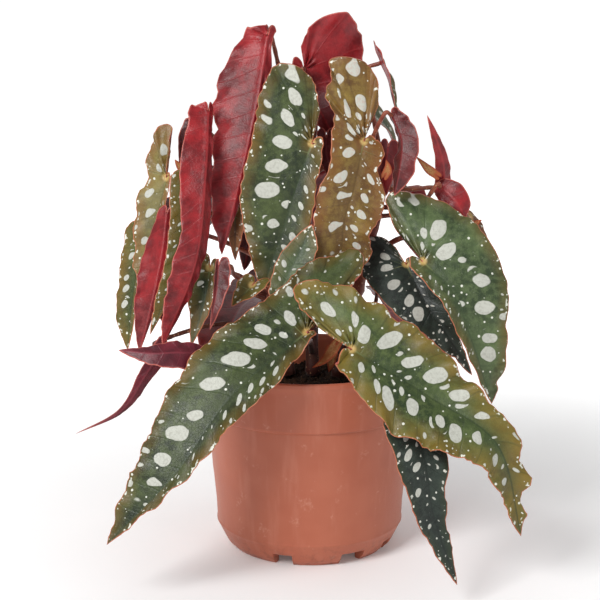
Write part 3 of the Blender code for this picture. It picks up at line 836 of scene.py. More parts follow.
LEAVES = (
    Leaf("front_left", ((-2, -60, 134), (-40, -84, 107), (-69, -98, 69), (-103, -100, 33)), (-15, 28),
         (19, 27, 31, 29, 54, 20), (5, 11, 14, 5, 4, 3), fold=(5, 15), fine=2),
    Leaf("front_right", ((21, -72, 128), (60, -80, 105), (94, -92, 83), (108, -88, 33)), (10, 32),
         (10, 23, 27, 13, 4, 8), (9, 15, 26, 28, 42, 17), fine=2),
    Leaf("right_big", ((60, -30, 166), (75, -38, 151), (85, -44, 127), (97, -44, 91)), (20, 12),
         (4, 7, 9, 8, 6, 5), (16, 24, 33, 36, 40, 18), fine=2),
    Leaf("right_back", ((53, -6, 160), (62, -20, 143), (76, -26, 122), (89, -22, 101)), (5, 10),
         (5, 12, 20, 25, 24, 15), (4, 8, 8, 5, 3, 3)),
    Leaf("centre_left", ((1, -10, 227), (-8, -13, 202), (-15, -15, 179), (-26, -17, 148)), (0, 15),
         (16, 27, 30, 33, 36, 31), (13, 14, 11, 7, 5, 5), fold=(8, 18), fine=2),
    Leaf("centre_right", ((29, -8, 228), (24, -12, 205), (18, -15, 182), (16, -17, 142)), (10, 15),
         (15, 18, 17, 18, 42, 36), (13, 18, 16, 8, 4, 4), fold=(8, 12), swing=-0.3, fine=2),
    Leaf("centre_back", ((-3, 24, 265), (1, 26, 253), (7, 22, 240), (14, 18, 227)), (175, 10),
         (17, 25, 31, 34, 25, 32), (5, 7, 7, 6, 8, 4), fold=(5, 5)),
    Leaf("centre_low", ((9, 6, 229), (9, 5, 221), (11, 4, 212), (12, 2, 202)), (180, 10),
         small(7, 5), small(6, 5)),
    Leaf("mid_left", ((-15.5, -32, 149.7), (-10.2, -27, 160.7), (-4.3, -24, 172.2), (1, -22, 184.9)), (-10, 25),
         (8, 10, 10, 8, 6, 5), (6, 9, 9, 7, 5, 4)),
    Leaf("mid_ruffled", ((-31, -25, 152), (-34, -28, 149), (-38, -31, 146), (-42, -33, 142)), (-10, 50),
         small(8, 5), (3, 6, 8, 10, 8, 6), fold=(20, 20)),
    Leaf("left_tall", ((-23, 10, 284), (-28, 2, 252), (-36, -6, 215), (-48, -12, 166)), (165, 10),
         (3, 4, 5, 4, 6, 3), (15, 20, 25, 14, 6, 3), fold=(40, 8)),
    Leaf("left_mid", ((-55, -4, 244), (-56, -20, 211), (-61, -34, 166), (-79, -40, 121)), (200, 10),
         (5, 7, 5, 4, 6, 3), (11, 11, 14, 10, 5, 3), fold=(30, 20)),
    Leaf("left_back", ((-63, 20, 235), (-66, 20, 225), (-69, 18, 215), (-74, 16, 204)), (175, 10),
         small(10, 4), small(8, 3)),
    Leaf("far_left_top", ((-79, 4, 207), (-84, 0, 184), (-88, -4, 161), (-94, -8, 138)), (-25, 15),
         (8, 12, 14, 12, 29, 9), (3, 4, 4, 3, 3, 2)),
    Leaf("far_left_low", ((-94, 12, 174), (-97, 8, 153), (-100, 4, 131), (-102, 0, 110)), (-40, 15),
         (10, 12, 12, 12, 7, 8), (4, 6, 6, 6, 4, 3)),
    Leaf("left_red", ((-78, -6, 189), (-81, -12, 165), (-87, -18, 137), (-93, -22, 114)), (165, 10),
         small(5, 3), (10, 13, 12, 6, 4, 3), fold=(20, 20)),
    Leaf("left_tail", ((-78, -30, 120), (-88, -36, 106), (-102, -40, 86), (-127, -40, 73)), (190, 20),
         (1, 3, 5, 7, 4, 4), (1, 2, 4, 6, 4, 4)),
    Leaf("left_flat", ((-59, -62, 123), (-69, -68, 125), (-82, -70, 125), (-99, -66, 126)), (180, -40),
         small(9, 6), small(8, 6)),
    Leaf("left_green", ((-67, -8, 207), (-67, -18, 184), (-72, -28, 158), (-86, -32, 126)), (0, 15),
         (6, 8, 9, 9, 6, 5), small(5, 4)),
    Leaf("low_left_green", ((-54, -20, 161), (-56, -24, 148), (-59, -28, 135), (-64, -32, 120)), (-15, 15),
         small(11, 8), small(6, 5)),
    Leaf("low_left_red", ((-48, -38, 166), (-49, -42, 153), (-51, -46, 142), (-53, -46, 132)), (150, 10),
         small(7, 4), small(3, 3)),
    Leaf("brown", ((-41, -2, 190), (-41, -4, 181), (-41, -5, 172), (-41, -6, 162)), (0, 10),
         small(6, 4), small(6, 4), fold=(25, 25)),
    Leaf("upper_right_edge", ((39, 12, 269), (43, 8, 260), (45, 6, 251), (48, 4, 240)), (70, 10),
         (5, 8, 10, 10, 12, 5), (4, 6, 6, 6, 6, 3), fold=(25, 10)),
    Leaf("upper_right_red", ((44, -10, 242), (49, -18, 229), (48, -22, 215), (45, -22, 200)), (140, 10),
         (7, 9, 9, 6, 4, 3), (6, 7, 4, 3, 3, 2), fold=(25, 25)),
    Leaf("upper_right_low", ((43, 6, 224), (42, 4, 215), (42, 2, 207), (42, 0, 197)), (180, 10),
         small(7, 4), small(5, 4)),
    Leaf("right_narrow", ((73, 0, 199), (73, -2, 213), (69, -4, 227), (63, -6, 242)), (-160, 10),
         small(5, 3), small(5, 3), fold=(20, 20)),
    Leaf("right_red", ((71, -6, 203), (77, -10, 198), (81, -12, 193), (84, -12, 186)), (190, 10),
         (6, 8, 8, 6, 3, 3), (4, 6, 7, 5, 3, 3)),
    Leaf("right_edge", ((89, 8, 185), (93, 6, 180), (97, 4, 174), (100, 2, 168)), (60, 10),
         small(6, 4), small(5, 3)),
    Leaf("low_right", ((47, -76, 102), (57, -90, 77), (62, -98, 47), (74, -104, 13)), (20, 20),
         (7, 13, 17, 14, 8, 6), (5, 9, 14, 13, 6, 6)),
    Leaf("back_right", ((58, 36, 194), (80, 52, 168), (95, 64, 136), (98, 70, 96)), (125, 20),
         (12, 18, 20, 12, 8, 6), (15, 23, 27, 26, 24, 18)),
    Leaf("back_mid", ((2, 48, 204), (0, 76, 184), (-2, 94, 150), (0, 100, 106)), (180, 25),
         (15, 23, 27, 24, 22, 16), (12, 18, 20, 12, 8, 6)),
    Leaf("back_left", ((-54, 46, 194), (-72, 66, 172), (-84, 80, 140), (-86, 84, 100)), (218, 20),
         (12, 18, 20, 12, 8, 6), (15, 23, 27, 26, 24, 18)),
    Leaf("back_low_right", ((40, 46, 136), (58, 74, 118), (70, 92, 86), (74, 98, 46)), (150, 40),
         (12, 20, 24, 24, 30, 18), (9, 14, 16, 8, 5, 5)),
    Leaf("back_low_left", ((-28, 52, 134), (-44, 80, 116), (-54, 96, 84), (-58, 100, 44)), (205, 40),
         (9, 14, 16, 8, 5, 5), (12, 20, 24, 24, 30, 18)),
    Leaf("side_right", ((32, 28, 242), (42, 32, 234), (48, 33, 221), (49, 32, 207)), (80, 20),
         small(9, 7), small(13, 10)),
    Leaf("inner_left", ((-26, 36, 196), (-31, 38, 180), (-35, 39, 164), (-38, 39, 148)), (185, 10),
         small(14, 10), small(13, 10)),
    Leaf("bract_front", ((14, -44, 124), (11, -46, 120), (7, -49, 116), (1, -52, 113)), (-30, 20),
         small(3.5, 3), small(3.5, 3), fold=(12, 12), thick=0.6),
    Leaf("bract_soil", ((11, -34, 118), (11, -35, 115), (11, -36, 111), (10, -37, 107)), (20, 10),
         small(4, 3), small(4, 3), fold=(12, 12), thick=0.6),
    Leaf("bract_left", ((-67, 2, 210), (-70, 2, 212), (-72, 2, 214), (-74, 2, 217)), (0, 20),
         small(3, 3), small(3, 3), fold=(12, 12), thick=0.6),
    Leaf("bract_right", ((86, -4, 179), (88, -5, 181), (91, -6, 183), (94, -7, 185)), (0, 20),
         small(3, 3), small(3, 3), fold=(12, 12), thick=0.6),
    Leaf("bract_upper", ((41, -8, 210), (42, -8, 212), (42, -8, 215), (41, -8, 218)), (0, 10),
         small(2.5, 3), small(2.5, 3), fold=(12, 12), thick=0.6),
    Leaf("bract_side", ((68, -10, 210), (64, -10, 213), (60, -10, 217), (57, -10, 220)), (0, 10),
         small(2.5, 3), small(2.5, 3), fold=(12, 12), thick=0.6),
)


# The darkest green upper tone and the dark red underside are painted shade, given to the blades that sit in shade.
GROWTHS = {
    "front_left": Growth(Tone.GREEN, Under.BRIGHT, 1.0, lobed=0.6),
    "front_right": Growth(Tone.GOLDEN_GREEN, Under.BRIGHT, 1.3, lobed=0.8),
    "right_big": Growth(Tone.GREY, Under.BRIGHT, 1.1),
    "right_back": Growth(Tone.DEEP, Under.DARK, 0.7),
    "centre_left": Growth(Tone.GREEN, Under.BRIGHT, 0.7),
    "centre_right": Growth(Tone.GOLD, Under.BRIGHT, 1.2, lobed=1.3),
    "centre_back": Growth(Tone.GREEN, Under.BRIGHT, 0.9, puff=0.15),
    "centre_low": Growth(Tone.DEEP, Under.DARK),
    "mid_left": Growth(Tone.GREY, Under.BRIGHT, 0.6, lobed=0.3),
    "mid_ruffled": Growth(Tone.OLIVE, Under.BRIGHT, 1.6, lobed=1.2),
    "left_tall": Growth(Tone.GREEN, Under.BRIGHT, 1.9, puff=0.15, lobed=0.8),
    "left_mid": Growth(Tone.DEEP, Under.BRIGHT, 1.2, puff=0.12, lobed=0.5),
    "left_back": Growth(Tone.DEEP, Under.DARK),
    "far_left_top": Growth(Tone.TAN, Under.TAN, lobed=0.8),
    "side_right": Growth(Tone.GREEN, Under.BRIGHT),
    "inner_left": Growth(Tone.DEEP, Under.DARK),
    "far_left_low": Growth(Tone.OLIVE, Under.DARK),
    "left_red": Growth(Tone.OLIVE, Under.BRIGHT, 0.9, puff=0.12),
    "left_tail": Growth(Tone.OLIVE, Under.PLUM, 0.4),
    "left_flat": Growth(Tone.GREEN, Under.PLUM),
    "left_green": Growth(Tone.OLIVE, Under.BRIGHT),
    "low_left_green": Growth(Tone.GREEN, Under.BRIGHT),
    "low_left_red": Growth(Tone.DEEP, Under.DARK),
    "brown": Growth(Tone.BROWN, Under.TAN),
    "upper_right_edge": Growth(Tone.GREEN, Under.BRIGHT),
    "upper_right_red": Growth(Tone.GREEN, Under.DARK),
    "upper_right_low": Growth(Tone.GREEN, Under.BRIGHT, puff=0.15),
    "right_narrow": Growth(Tone.GREEN, Under.BRIGHT, puff=0.1),
    "right_red": Growth(Tone.GREEN, Under.BRIGHT, puff=0.15),
    "right_edge": Growth(Tone.BROWN, Under.DARK),
    "low_right": Growth(Tone.DEEP, Under.DARK),
    "back_right": Growth(Tone.GREEN, Under.BRIGHT),
    "back_mid": Growth(Tone.GREEN, Under.BRIGHT),
    "back_left": Growth(Tone.OLIVE, Under.DARK),
    "back_low_right": Growth(Tone.GREEN, Under.BRIGHT),
    "back_low_left": Growth(Tone.DEEP, Under.DARK),
}


@dataclass
class Foliage:
    """All the blades, with their upper and under finishes."""

    effects: Effects

    def build(self) -> None:
        """Makes each blade over its CAD node."""
        upper = {tone: finish.make(f"upper_{tone.value}", self.effects) for tone, finish in UPPER_FINISHES.items()}
        under = {kind: finish.make(f"under_{kind.value}", self.effects) for kind, finish in UNDER_FINISHES.items()}
        for seed, leaf in enumerate(item for item in LEAVES if not item.name.startswith("bract")):
            growth = GROWTHS[leaf.name]
            leaf.skin(growth, 3 + 7 * seed).make(f"blade_{leaf.name}", leaf.name, "leaf",
                                                 [upper[growth.tone], under[growth.under]])


@dataclass
class Bracts:
    """The papery sheaths at the foot of young stalks."""

    effects: Effects

    def dress(self) -> bpy.types.Material:
        """Makes their material: tan paper with fine lengthwise fibres and an orange margin.

        Returns:
            The material.
        """
        finish = Finish("dry_sheath", 0.62, Specular_IOR_Level=0.3)
        bench, place = finish.bench, finish.place
        edge = finish.mark("edge")
        chart = bench.put("ShaderNodeUVMap", uv_map="veins").outputs[0]
        fibre = bench.put("ShaderNodeTexNoise", {"Vector": chart, "Scale": 9.0, "Detail": 3.0}).outputs[0]
        patches = finish.use(self.effects.patches, {"Place": place, "Scale": 130.0}).outputs[0]
        color = bench.mix(patches, paint("96562c"), paint("b58a58"))
        color = bench.mix(bench.step(fibre, 0.45, 0.62), color, paint("8f5a30"))
        color = bench.mix(bench.step(edge, 1.6, 0.2), color, paint("984626"))
        return finish.dress(color, bench.math("MULTIPLY_ADD", fibre, 0.2, 0.5), fibre, 0.5, 0.0004)

    def build(self) -> None:
        """Makes each sheath over its CAD node."""
        paper = self.dress()
        for seed, leaf in enumerate(item for item in LEAVES if item.name.startswith("bract")):
            leaf.thick = 0.4
            growth = Growth(ruffle=1.6, curl=0.02, puff=0.2, pitch=0.5)
            leaf.skin(growth, 301 + 7 * seed).make(f"sheath_{leaf.name}", leaf.name, "bract", [paper, paper])


@dataclass
class Stalk:
    """One leaf stalk: the leaf it carries, its route from the cane, and the side of the blade it meets."""

    leaf: str
    start: tuple
    via: tuple = ()
    side: int = -1
    reach: float = 11.0
    radius: float = 1.4

    def path(self) -> np.ndarray:
        """The points of the stalk, ending in the blade's middle.

        Returns:
            The points, in millimetres.
        """
        leaf = next(item for item in LEAVES if item.name == self.leaf)
        tip = np.array(leaf.rib[0], float)
        out = self.side * leaf.frames()[4][0]
        return np.array([self.start, *self.via, tip + out * self.reach, tip + out * 0.3], float)


@dataclass
class Cane:
    """One cane with its stalks."""

    name: str
    path: tuple
    radius: float
    stalks: tuple

    def tube(self, path: np.ndarray, radius: float, taper: float, seed: int,
             joints: float = 0.0) -> tuple[np.ndarray, np.ndarray]:
        """A round stem: centre(a) + radius(a) (cos b, sin b) in a frame carried along without twist.

        The radius tapers and swells at joints as exp(-(d / 2.5)^2), and flat caps close the ends.

        Args:
            path: the stem's middle line.
            radius: its radius at the start.
            taper: its radius at the end as a share of that.
            seed: which small irregularities.
            joints: how far the swellings are apart, or 0 for none.

        Returns:
            Points and triangles.
        """
        steps, turns = 14 * (len(path) - 1), 20
        line = spline(path, np.linspace(0, len(path) - 1, steps + 1))
        arc = np.concatenate([[0.0], np.cumsum(np.linalg.norm(np.diff(line, axis=0), axis=1))])
        ahead = np.gradient(line, axis=0)
        ahead /= np.linalg.norm(ahead, axis=1)[:, None]
        base = np.cross(ahead[len(ahead) // 2], [0.31, 0.94, 0.12])
        one = base - ahead * (ahead @ base)[:, None]
        one /= np.linalg.norm(one, axis=1)[:, None]
        two = np.cross(ahead, one)
        size = radius * (1 - (1 - taper) * arc / arc[-1])
        if joints:
            away = np.abs((arc / joints + 0.37 * (seed % 5)) % 1 - 0.5) * joints
            size = size * (1 + 0.22 * np.exp(-((away / 2.2) ** 2)))
        size = size * (1 + 0.05 * waves(arc[:, None], 9.0, seed, 5))
        b = np.linspace(0, 2 * math.pi, turns, endpoint=False)
        ring = np.cos(b)[None, :, None] * one[:, None] + np.sin(b)[None, :, None] * two[:, None]
        points = line[:, None] + size[:, None, None] * ring
        ends = [np.repeat(line[i][None, None], turns, 1) for i in (0, -1)]
        points = np.concatenate([ends[0], points, ends[1]]).reshape(-1, 3)
        return points, grid_triangles(steps + 3, turns, closed=True)

    def build(self, bark: bpy.types.Material, seed: int) -> None:
        """Makes the cane and its stalks as one piece over its CAD node.

        Args:
            bark: the stems' material.
            seed: which small irregularities.
        """
        tubes = [self.tube(np.array(self.path, float), self.radius * 1.05, 0.75, seed, joints=24.0)]
        tubes += [self.tube(s.path(), s.radius, 0.8, seed + 3 + i) for i, s in enumerate(self.stalks)]
        points = np.concatenate([p for p, _ in tubes])
        starts = np.cumsum([0] + [len(p) for p, _ in tubes[:-1]])
        triangles = np.concatenate([t + start for (_, t), start in zip(tubes, starts)])
        index, first, whole = weld(points, triangles)
        triangles = index[triangles][whole]
        Skin(points[first], triangles).make(f"stems_{self.name}", self.name, "stem", [bark])


def bark_finish(effects: Effects) -> bpy.types.Material:
    """Red-brown stems with paler flecks, fine lengthwise grain, and painted shade that darkens them to near black just
    above the soil.

    Args:
        effects: the shared effects.

    Returns:
        The material.
    """
    finish = Finish("stem_skin", 0.45, Specular_IOR_Level=0.4, Sheen_Weight=0.08)
    bench, place = finish.bench, finish.place
    patches = finish.use(effects.patches, {"Place": place, "Scale": 55.0}).outputs[0]
    height = bench.put("ShaderNodeSeparateXYZ", {0: place}).outputs[2]
    color = bench.mix(patches, paint("6e2a1e"), paint("96533a"))
    # painted shade: below 16.5 cm the stems darken towards near black, most at 10.5 cm by the pot's rim, where the
    # leaves shade them
    color = bench.mix(bench.step(height, 0.165, 0.105, 0.0, 0.85), color, paint("2c1410"))
    flecks = bench.put("ShaderNodeTexVoronoi", {"Vector": place, "Scale": 420.0})
    color = bench.mix(bench.math("MULTIPLY", bench.step(flecks.outputs["Distance"], 0.22, 0.12), 0.6), color,
                      paint("d0a27a"))
    grain = finish.use(effects.grain, {"Place": place, "Scale": 900.0, "Amount": 1.0}).outputs[0]
    return finish.dress(color, bench.math("MULTIPLY_ADD", patches, 0.12, 0.38), grain, 0.4, 0.0005)


CANES = (
    Cane("cane_left", ((-12, 6, 94.0), (-22, 12, 135), (-32, 16, 180), (-40, 16, 222)), 4.0, (
        Stalk("left_mid", (-38.5, 16, 215), ((-67, 12, 228),), side=1, reach=8.0),
        Stalk("left_back", (-36, 16, 200), ((-50, 28, 222),), side=1),
        Stalk("far_left_top", (-32, 16, 180), ((-54, 18, 198),)),
        Stalk("far_left_low", (-27.5, 14, 160), ((-60, 22, 172),)),
        Stalk("left_red", (-30, 15, 172), ((-56, 12, 186),), side=1, reach=8.0),
        Stalk("left_green", (-34, 16, 190), ((-52, 16, 200),)),
        Stalk("left_flat", (-15, 8, 108), ((-36, -28, 114),), side=1),
        Stalk("left_tail", (-18, 10, 118), ((-50, -4, 126),), side=1),
        Stalk("low_left_green", (-22, 12, 135), ((-38, 0, 152),)),
        Stalk("low_left_red", (-23, 12.5, 139), ((-40, -12, 154),), side=1),
        Stalk("brown", (-33, 16, 185), ()),
        Stalk("back_left", (-32, 16, 178), ()),
        Stalk("inner_left", (-30, 15, 172), ((-24, 24, 184),)),
        Stalk("back_low_left", (-17, 9, 114), ()),
    )),
    Cane("cane_middle", ((2, 10, 93.0), (0, 14, 145), (-2, 14, 195), (2, 14, 238)), 3.6, (
        Stalk("left_tall", (0.5, 14, 222), ((-14, 17, 256),), side=1),
        Stalk("centre_left", (-1, 14, 212), ()),
        Stalk("centre_right", (-1.8, 14, 203), ((15, 12, 218),)),
        Stalk("centre_back", (1.8, 14, 236), ()),
        Stalk("centre_low", (0.5, 14, 224), (), side=1, reach=8.0),
        Stalk("mid_left", (0.5, 13, 130), ((2, -8, 139), (-8, -20, 145)), reach=5.0),
        Stalk("mid_ruffled", (0.5, 12.5, 122), ((-12, -8, 136),), reach=8.0),
        Stalk("front_left", (1.5, 11, 106), ((0, -20, 120),), radius=1.7),
        Stalk("back_mid", (-2, 14, 188), ()),
    )),
    Cane("cane_right", ((16, 2, 94.0), (26, 8, 140), (36, 12, 180), (42, 12, 212)), 3.8, (
        Stalk("front_right", (18, 3, 102), ((19, -28, 112),), radius=1.7),
        Stalk("right_big", (30, 10, 158), ((50, 8, 172), (62, -4, 172)), radius=1.7),
        Stalk("right_back", (28.5, 9, 151), ((42, 8, 156),)),
        Stalk("upper_right_edge", (41.5, 12, 209), ((34, 18, 245),)),
        Stalk("upper_right_red", (40.5, 12, 204), ((33, 4, 222),), reach=6.0),
        Stalk("upper_right_low", (41, 12, 207), (), side=1, reach=8.0),
        Stalk("right_narrow", (40, 12, 200), ((56, 15, 199),), side=1),
        Stalk("right_red", (38, 12, 189), ((60, 2, 192),), reach=7.0),
        Stalk("right_edge", (37, 12, 184), ((60, 18, 184),)),
        Stalk("low_right", (16.8, 2.5, 97), ((26, -30, 112), (38, -58, 112)), reach=7.0),
        Stalk("back_right", (38, 12, 190), ()),
        Stalk("side_right", (40, 12, 201), ((28, 22, 226),)),
        Stalk("back_low_right", (22.5, 6, 122), ()),
    )),
)



@dataclass
class Pot:
    """The nursery pot: a collar above a step, a recessed foot with drain notches, and a middle pad."""

    effects: Effects
    height: float = 106.0
    foot_radius: float = 45.0
    body_radius: float = 52.3
    collar_radius: float = 58.4
    rim_radius: float = 60.5
    wall: float = 2.0
    notch_height: float = 6.5
    notches: tuple = ((-108.0, 10.0), (-61.0, 13.0), (-29.0, 8.0), (10.0, 13.0), (60.0, 10.0), (105.0, 13.0),
                      (150.0, 10.0))

    def profile(self) -> np.ndarray:
        """The section as (radius, height), from the middle of the underside out, up, over the rim and down inside.

        Returns:
            Its points, with short steps at each edge so that it shades round.
        """
        h, rim, body, collar = self.height, self.rim_radius, self.body_radius, self.collar_radius
        arc = np.linspace(0, math.pi, 9)
        lip = np.stack([rim - 1.1 + 1.1 * np.cos(arc), h - 1.1 + 1.1 * np.sin(arc)], -1)
        under = [(0, 0), (8.6, 0), (9.0, 0.4), (9.8, 8), (40.6, 8), (41.0, 0.4), (41.4, 0)]
        foot = [(44.6, 0), (45.1, 0.5), (46.4, 2.0), (47.6, 3.0), (48.8, 5.4), (49.6, 7.0), (50.4, 8.6), (51.6, 11.2)]
        wall = [(body - 0.1, 12.6), (body + 0.45, 13.3), (body + 0.5, 14.2), (body + 0.2, 14.8), (53.0, 25), (54.2, 38),
                (55.0, 45), (56.0, 60), (56.9, 72), (57.3, 76.6), (57.1, 77.4), (57.5, 78.0), (collar, 78.4),
                (collar + 0.25, 79.0), (collar + 0.3, 80.0)]
        top = [(58.9, 88), (59.3, 99), (rim - 0.5, 102.0), (rim - 0.1, 102.7), (rim, 103.4)]
        inside = [(rim - 2.4, 103.5), (rim - 3.0, 102.0), (collar - self.wall, 78), (53, 45), (body - self.wall, 14),
                  (47.3, 10), (0, 10)]
        return np.concatenate([under, foot, wall, top, lip, inside])

    def build(self) -> None:
        """Makes the pot: the section turned about Z, with the foot's lower edge lifted inside each notch."""
        profile = self.profile()
        degrees = np.linspace(-180, 180, 240, endpoint=False)
        halves = [math.degrees(0.5 * width / self.foot_radius) for _, width in self.notches]
        sides = [[turn - half - 0.12, turn - half + 0.12, turn + half - 0.12, turn + half + 0.12]
                 for (turn, _), half in zip(self.notches, halves)]
        degrees = np.unique(np.concatenate([degrees, np.ravel(sides)]))
        cut = np.any([np.abs(degrees - turn) < half for (turn, _), half in zip(self.notches, halves)], axis=0)
        radius = np.repeat(profile[:, :1], len(degrees), 1)
        height = np.repeat(profile[:, 1:], len(degrees), 1)
        ring = (radius > 40.7) & (radius < 49.5) & (np.arange(len(profile))[:, None] < 20)
        height = np.where(ring & cut, np.maximum(height, self.notch_height), height)
        turn = np.radians(degrees)
        points = np.stack([radius * np.cos(turn), radius * np.sin(turn), height], -1).reshape(-1, 3)
        triangles = grid_triangles(len(profile), len(degrees), closed=True)
        index, first, whole = weld(points, triangles)
        piece = Skin(points[first], index[triangles][whole]).make("nursery_pot", "pot", "pot", [self.dress()])
        corner = piece.modifiers.new("soft_edges", "WEIGHTED_NORMAL")
        corner.keep_sharp = True

    def dress(self) -> bpy.types.Material:
        """Makes the terracotta-coloured plastic: uneven tint, scuffs, darker brown patches over the lowest 2 cm and a
        fine satin grain.

        Returns:
            The material.
        """
        finish = Finish("terracotta_plastic", 0.45, Specular_IOR_Level=0.42)
        bench, place = finish.bench, finish.place
        patches = finish.use(self.effects.patches, {"Place": place, "Scale": 14.0, "Low": 0.3, "High": 0.7}).outputs[0]
        color = bench.mix(patches, paint("a95a40"), paint("b4664c"))
        height = bench.put("ShaderNodeSeparateXYZ", {0: place}).outputs[2]
        stretched = bench.put("ShaderNodeMapping", {"Vector": place, "Scale": (1.0, 1.0, 0.12)}).outputs[0]
        streaks = bench.noise(stretched, 160.0, 4.0)
        color = bench.mix(bench.math("MULTIPLY", bench.step(streaks, 0.5, 0.72), 0.22), color, paint("c98570"))
        scuffs = finish.use(self.effects.patches,
                            {"Place": place, "Scale": 120.0, "Low": 0.60, "High": 0.72}).outputs[0]
        color = bench.mix(bench.math("MULTIPLY", scuffs, 0.3), color, paint("d6a28e"))
        # darker brown in noisy patches over the lowest 2 cm of the pot
        low = bench.step(height, 0.020, 0.0)
        low_dark_patches = bench.math("MULTIPLY", low, bench.step(bench.noise(place, 240.0, 4.0), 0.48, 0.66))
        color = bench.mix(bench.math("MULTIPLY", low_dark_patches, 0.4), color, paint("6e3f2e"))
        grain = finish.use(self.effects.grain, {"Place": place, "Scale": 2200.0, "Amount": 1.0}).outputs[0]
        rough = bench.math("MULTIPLY_ADD", streaks, 0.14, 0.36)
        return finish.dress(color, rough, grain, 0.25, 0.0003)


@dataclass
class Soil:
    """The potting soil: a crumbly top with loose crumbs of peat and bark, filling the pot."""

    effects: Effects
    top: float = 92.0
    radius: float = 56.0
    open_radius: float = 55.6
    crumbs: int = 330
    seed: int = 61

    def build(self) -> None:
        """Makes the soil: a turned section whose top is lifted by waves of three sizes, with crumbs on it."""
        rings = np.concatenate([np.linspace(0, self.open_radius, 64), [self.radius - 0.2, 52.6, 49.9, 46.4, 0.0]])
        heights = np.concatenate([self.top - 4 * (np.linspace(0, 1, 64) ** 3), [78.0, 45.0, 14.4, 10.4, 10.4]])
        turn = np.linspace(0, 2 * math.pi, 190, endpoint=False)
        points = np.stack([rings[:, None] * np.cos(turn), rings[:, None] * np.sin(turn),
                           np.repeat(heights[:, None], 190, 1)], -1)
        flat = points[..., :2].reshape(-1, 2)
        bumps = (0.9 * waves(flat, 16.0, self.seed) + 0.55 * waves(flat, 6.0, self.seed + 1)
                 + 0.4 * waves(flat, 2.8, self.seed + 2))
        across = np.linspace(0, self.open_radius, 64)
        fade = np.concatenate([smooth_step(across, 0, 3) * smooth_step(-across, -self.open_radius, -52), np.zeros(5)])
        points[..., 2] += bumps.reshape(points.shape[:2]) * fade[:, None]
        points = points.reshape(-1, 3)
        triangles = grid_triangles(69, 190, closed=True)[:, ::-1]
        index, first, whole = weld(points, triangles)
        body, body_triangles = points[first], index[triangles][whole]
        loose, loose_triangles = self.crumb_field()
        Skin(np.concatenate([body, loose]), np.concatenate([body_triangles, loose_triangles + len(body)])).make(
            "potting_soil", "soil", "soil", [self.dress()])

    def crumb_field(self) -> tuple[np.ndarray, np.ndarray]:
        """Scatters crumbs: each is centre + size (x, y, z) of a ball of 6 by 4 faces, pulled in and out at random.

        Returns:
            Their points and triangles.
        """
        random = np.random.default_rng(self.seed + 7)
        a = np.linspace(0, 2 * math.pi, 6, endpoint=False)
        b = np.linspace(-0.5 * math.pi, 0.5 * math.pi, 5)
        ball = np.stack([np.outer(np.cos(b), np.cos(a)), np.outer(np.cos(b), np.sin(a)),
                         np.repeat(np.sin(b)[:, None], 6, 1)], -1)
        index, first, whole = weld(ball.reshape(-1, 3), grid_triangles(5, 6, closed=True))
        ball, triangles = ball.reshape(-1, 3)[first], index[grid_triangles(5, 6, closed=True)][whole]
        size = random.uniform(0.7, 2.4, (self.crumbs, 1, 1)) * random.uniform(0.6, 1.3, (self.crumbs, 1, 3))
        shape = ball[None] * size * random.uniform(0.75, 1.2, (self.crumbs, len(ball), 1))
        way, out = random.uniform(0, 2 * math.pi, self.crumbs), 51.5 * np.sqrt(random.uniform(0, 1, self.crumbs))
        centre = np.stack([out * np.cos(way), out * np.sin(way),
                           self.top - 4 * (out / self.open_radius) ** 3 + random.uniform(-0.3, 0.9, self.crumbs)], -1)
        points = (shape + centre[:, None]).reshape(-1, 3)
        starts = np.arange(self.crumbs)[:, None, None] * len(ball)
        return points, (triangles[None] + starts).reshape(-1, 3)

    def dress(self) -> bpy.types.Material:
        """Makes the soil's material: near-black peat with brown fibres and paler specks.

        Returns:
            The material.
        """
        finish = Finish("peat", 0.9, Specular_IOR_Level=0.2)
        bench, place = finish.bench, finish.place
        patches = finish.use(self.effects.patches, {"Place": place, "Scale": 160.0}).outputs[0]
        color = bench.mix(patches, paint("17100c"), paint("3a2618"))
        specks = bench.put("ShaderNodeTexVoronoi", {"Vector": place, "Scale": 480.0})
        color = bench.mix(bench.math("MULTIPLY", bench.step(specks.outputs["Distance"], 0.20, 0.10), 0.6), color,
                          paint("7a5a3c"))
        grain = finish.use(self.effects.grain, {"Place": place, "Scale": 900.0, "Amount": 1.6}).outputs[0]
        return finish.dress(color, bench.math("MULTIPLY_ADD", patches, 0.1, 0.85), grain, 0.8, 0.0012)


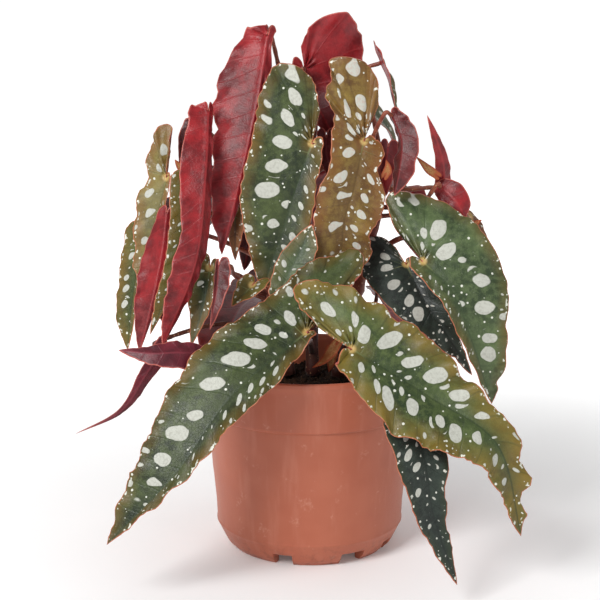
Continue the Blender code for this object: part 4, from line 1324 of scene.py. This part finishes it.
@dataclass
class Studio:
    """The plain pale floor, the soft lights and the camera."""

    place: tuple = (-0.0054, -0.800, 0.303)
    pitch: float = 78.4
    lens: float = 87.96
    sensor: float = 36.0
    surround: float = 0.4
    backdrop: float = 0.65

    def floor(self) -> None:
        """A wide pale floor: z = 0 over a grid of two parameters."""
        size = np.linspace(-6.0, 6.0, 5)
        x, y = np.meshgrid(size, size, indexing="ij")
        points = np.stack([x, y, np.full_like(x, -0.0001)], -1).reshape(-1, 3)
        mesh = bpy.data.meshes.new("floor")
        mesh.from_pydata(points.tolist(), [], grid_triangles(5, 5)[:, ::-1].tolist())
        floor = bpy.data.objects.new("floor", mesh)
        finish = Finish("pale_floor", 0.8, Specular_IOR_Level=0.1, Emission_Strength=0.66)
        tint = finish.bench.noise(finish.place, 3.0, 1.0)
        far = finish.bench.put("ShaderNodeVectorMath", {0: finish.place}, operation="LENGTH").outputs["Value"]
        glow = finish.bench.mix(finish.bench.step(far, 0.08, 0.7), paint("5e5e5e"), paint("ffffff"))
        finish.bench.feed(finish.shader.inputs["Emission Color"], glow)
        mesh.materials.append(finish.dress(finish.bench.mix(tint, paint("f6f6f6"), paint("f8f8f8"))))
        bpy.context.scene.collection.objects.link(floor)
        floor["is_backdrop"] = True

    def lamp(self, name: str, place: tuple, target: tuple, size: float, power: float) -> None:
        """Adds a square soft light.

        Args:
            name: its name.
            place: where it hangs.
            target: what it looks at.
            size: its side, in metres.
            power: its power, in watts.
        """
        light = bpy.data.lights.new(name, "AREA")
        light.size, light.energy = size, power
        item = bpy.data.objects.new(name, light)
        way = np.array(target, float) - np.array(place, float)
        flat = math.hypot(way[0], way[1])
        item.location = place
        item.rotation_euler = (math.atan2(flat, -way[2]), 0.0, math.atan2(way[1], way[0]) - math.pi / 2)
        bpy.context.scene.collection.objects.link(item)

    def build(self) -> None:
        """Sets up the floor, the lights, the white surroundings and the camera."""
        scene = bpy.context.scene
        self.floor()
        self.lamp("key", (-0.75, -1.0, 1.05), (0.0, 0.0, 0.14), 0.6, 19.0)
        self.lamp("fill", (1.1, -0.8, 0.6), (0.0, 0.0, 0.14), 1.0, 2.5)
        self.lamp("back", (0.3, 1.1, 1.1), (0.0, 0.0, 0.16), 0.9, 5.0)
        world = bpy.data.worlds.new("studio")
        scene.world = world
        world.use_nodes = True
        bench = Bench(world.node_tree)
        light = world.node_tree.nodes["Background"]
        light.inputs["Color"].default_value = (1.0, 1.0, 1.0, 1.0)
        seen = bench.put("ShaderNodeLightPath").outputs["Is Camera Ray"]
        bench.feed(light.inputs["Strength"], bench.math("MULTIPLY_ADD", seen, self.backdrop, self.surround))
        camera = bpy.data.objects.new("camera", bpy.data.cameras.new("camera"))
        camera.data.lens = self.lens
        camera.data.sensor_width = self.sensor
        camera.data.clip_start, camera.data.clip_end = 0.01, 50.0
        camera.location = self.place
        camera.rotation_euler = (math.radians(self.pitch), 0.0, 0.0)
        scene.collection.objects.link(camera)
        scene.camera = camera
        scene.view_settings.view_transform = "Standard"


def main() -> None:
    """Builds the plant, its pot and the studio, and notes how large they came out."""
    logging.basicConfig(level=logging.INFO, format="%(name)s %(message)s")
    for name in ("Cube", "Light", "Camera"):
        if name in bpy.data.objects:
            bpy.data.objects.remove(bpy.data.objects[name])
    effects = Effects()
    Pot(effects).build()
    Soil(effects).build()
    bark = bark_finish(effects)
    for seed, cane in enumerate(CANES):
        cane.build(bark, 11 + 5 * seed)
    Foliage(effects).build()
    Bracts(effects).build()
    Studio().build()
    bpy.context.view_layer.update()
    boxes = {"cad": CAD_BOX, "visual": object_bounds()}
    {key: [list(corner) for corner in box] for key, box in boxes.items()}
    LOG.info("object box: %s", [round(value, 4) for corner in boxes["visual"] for value in corner])


if __name__ == "__main__":
    main()
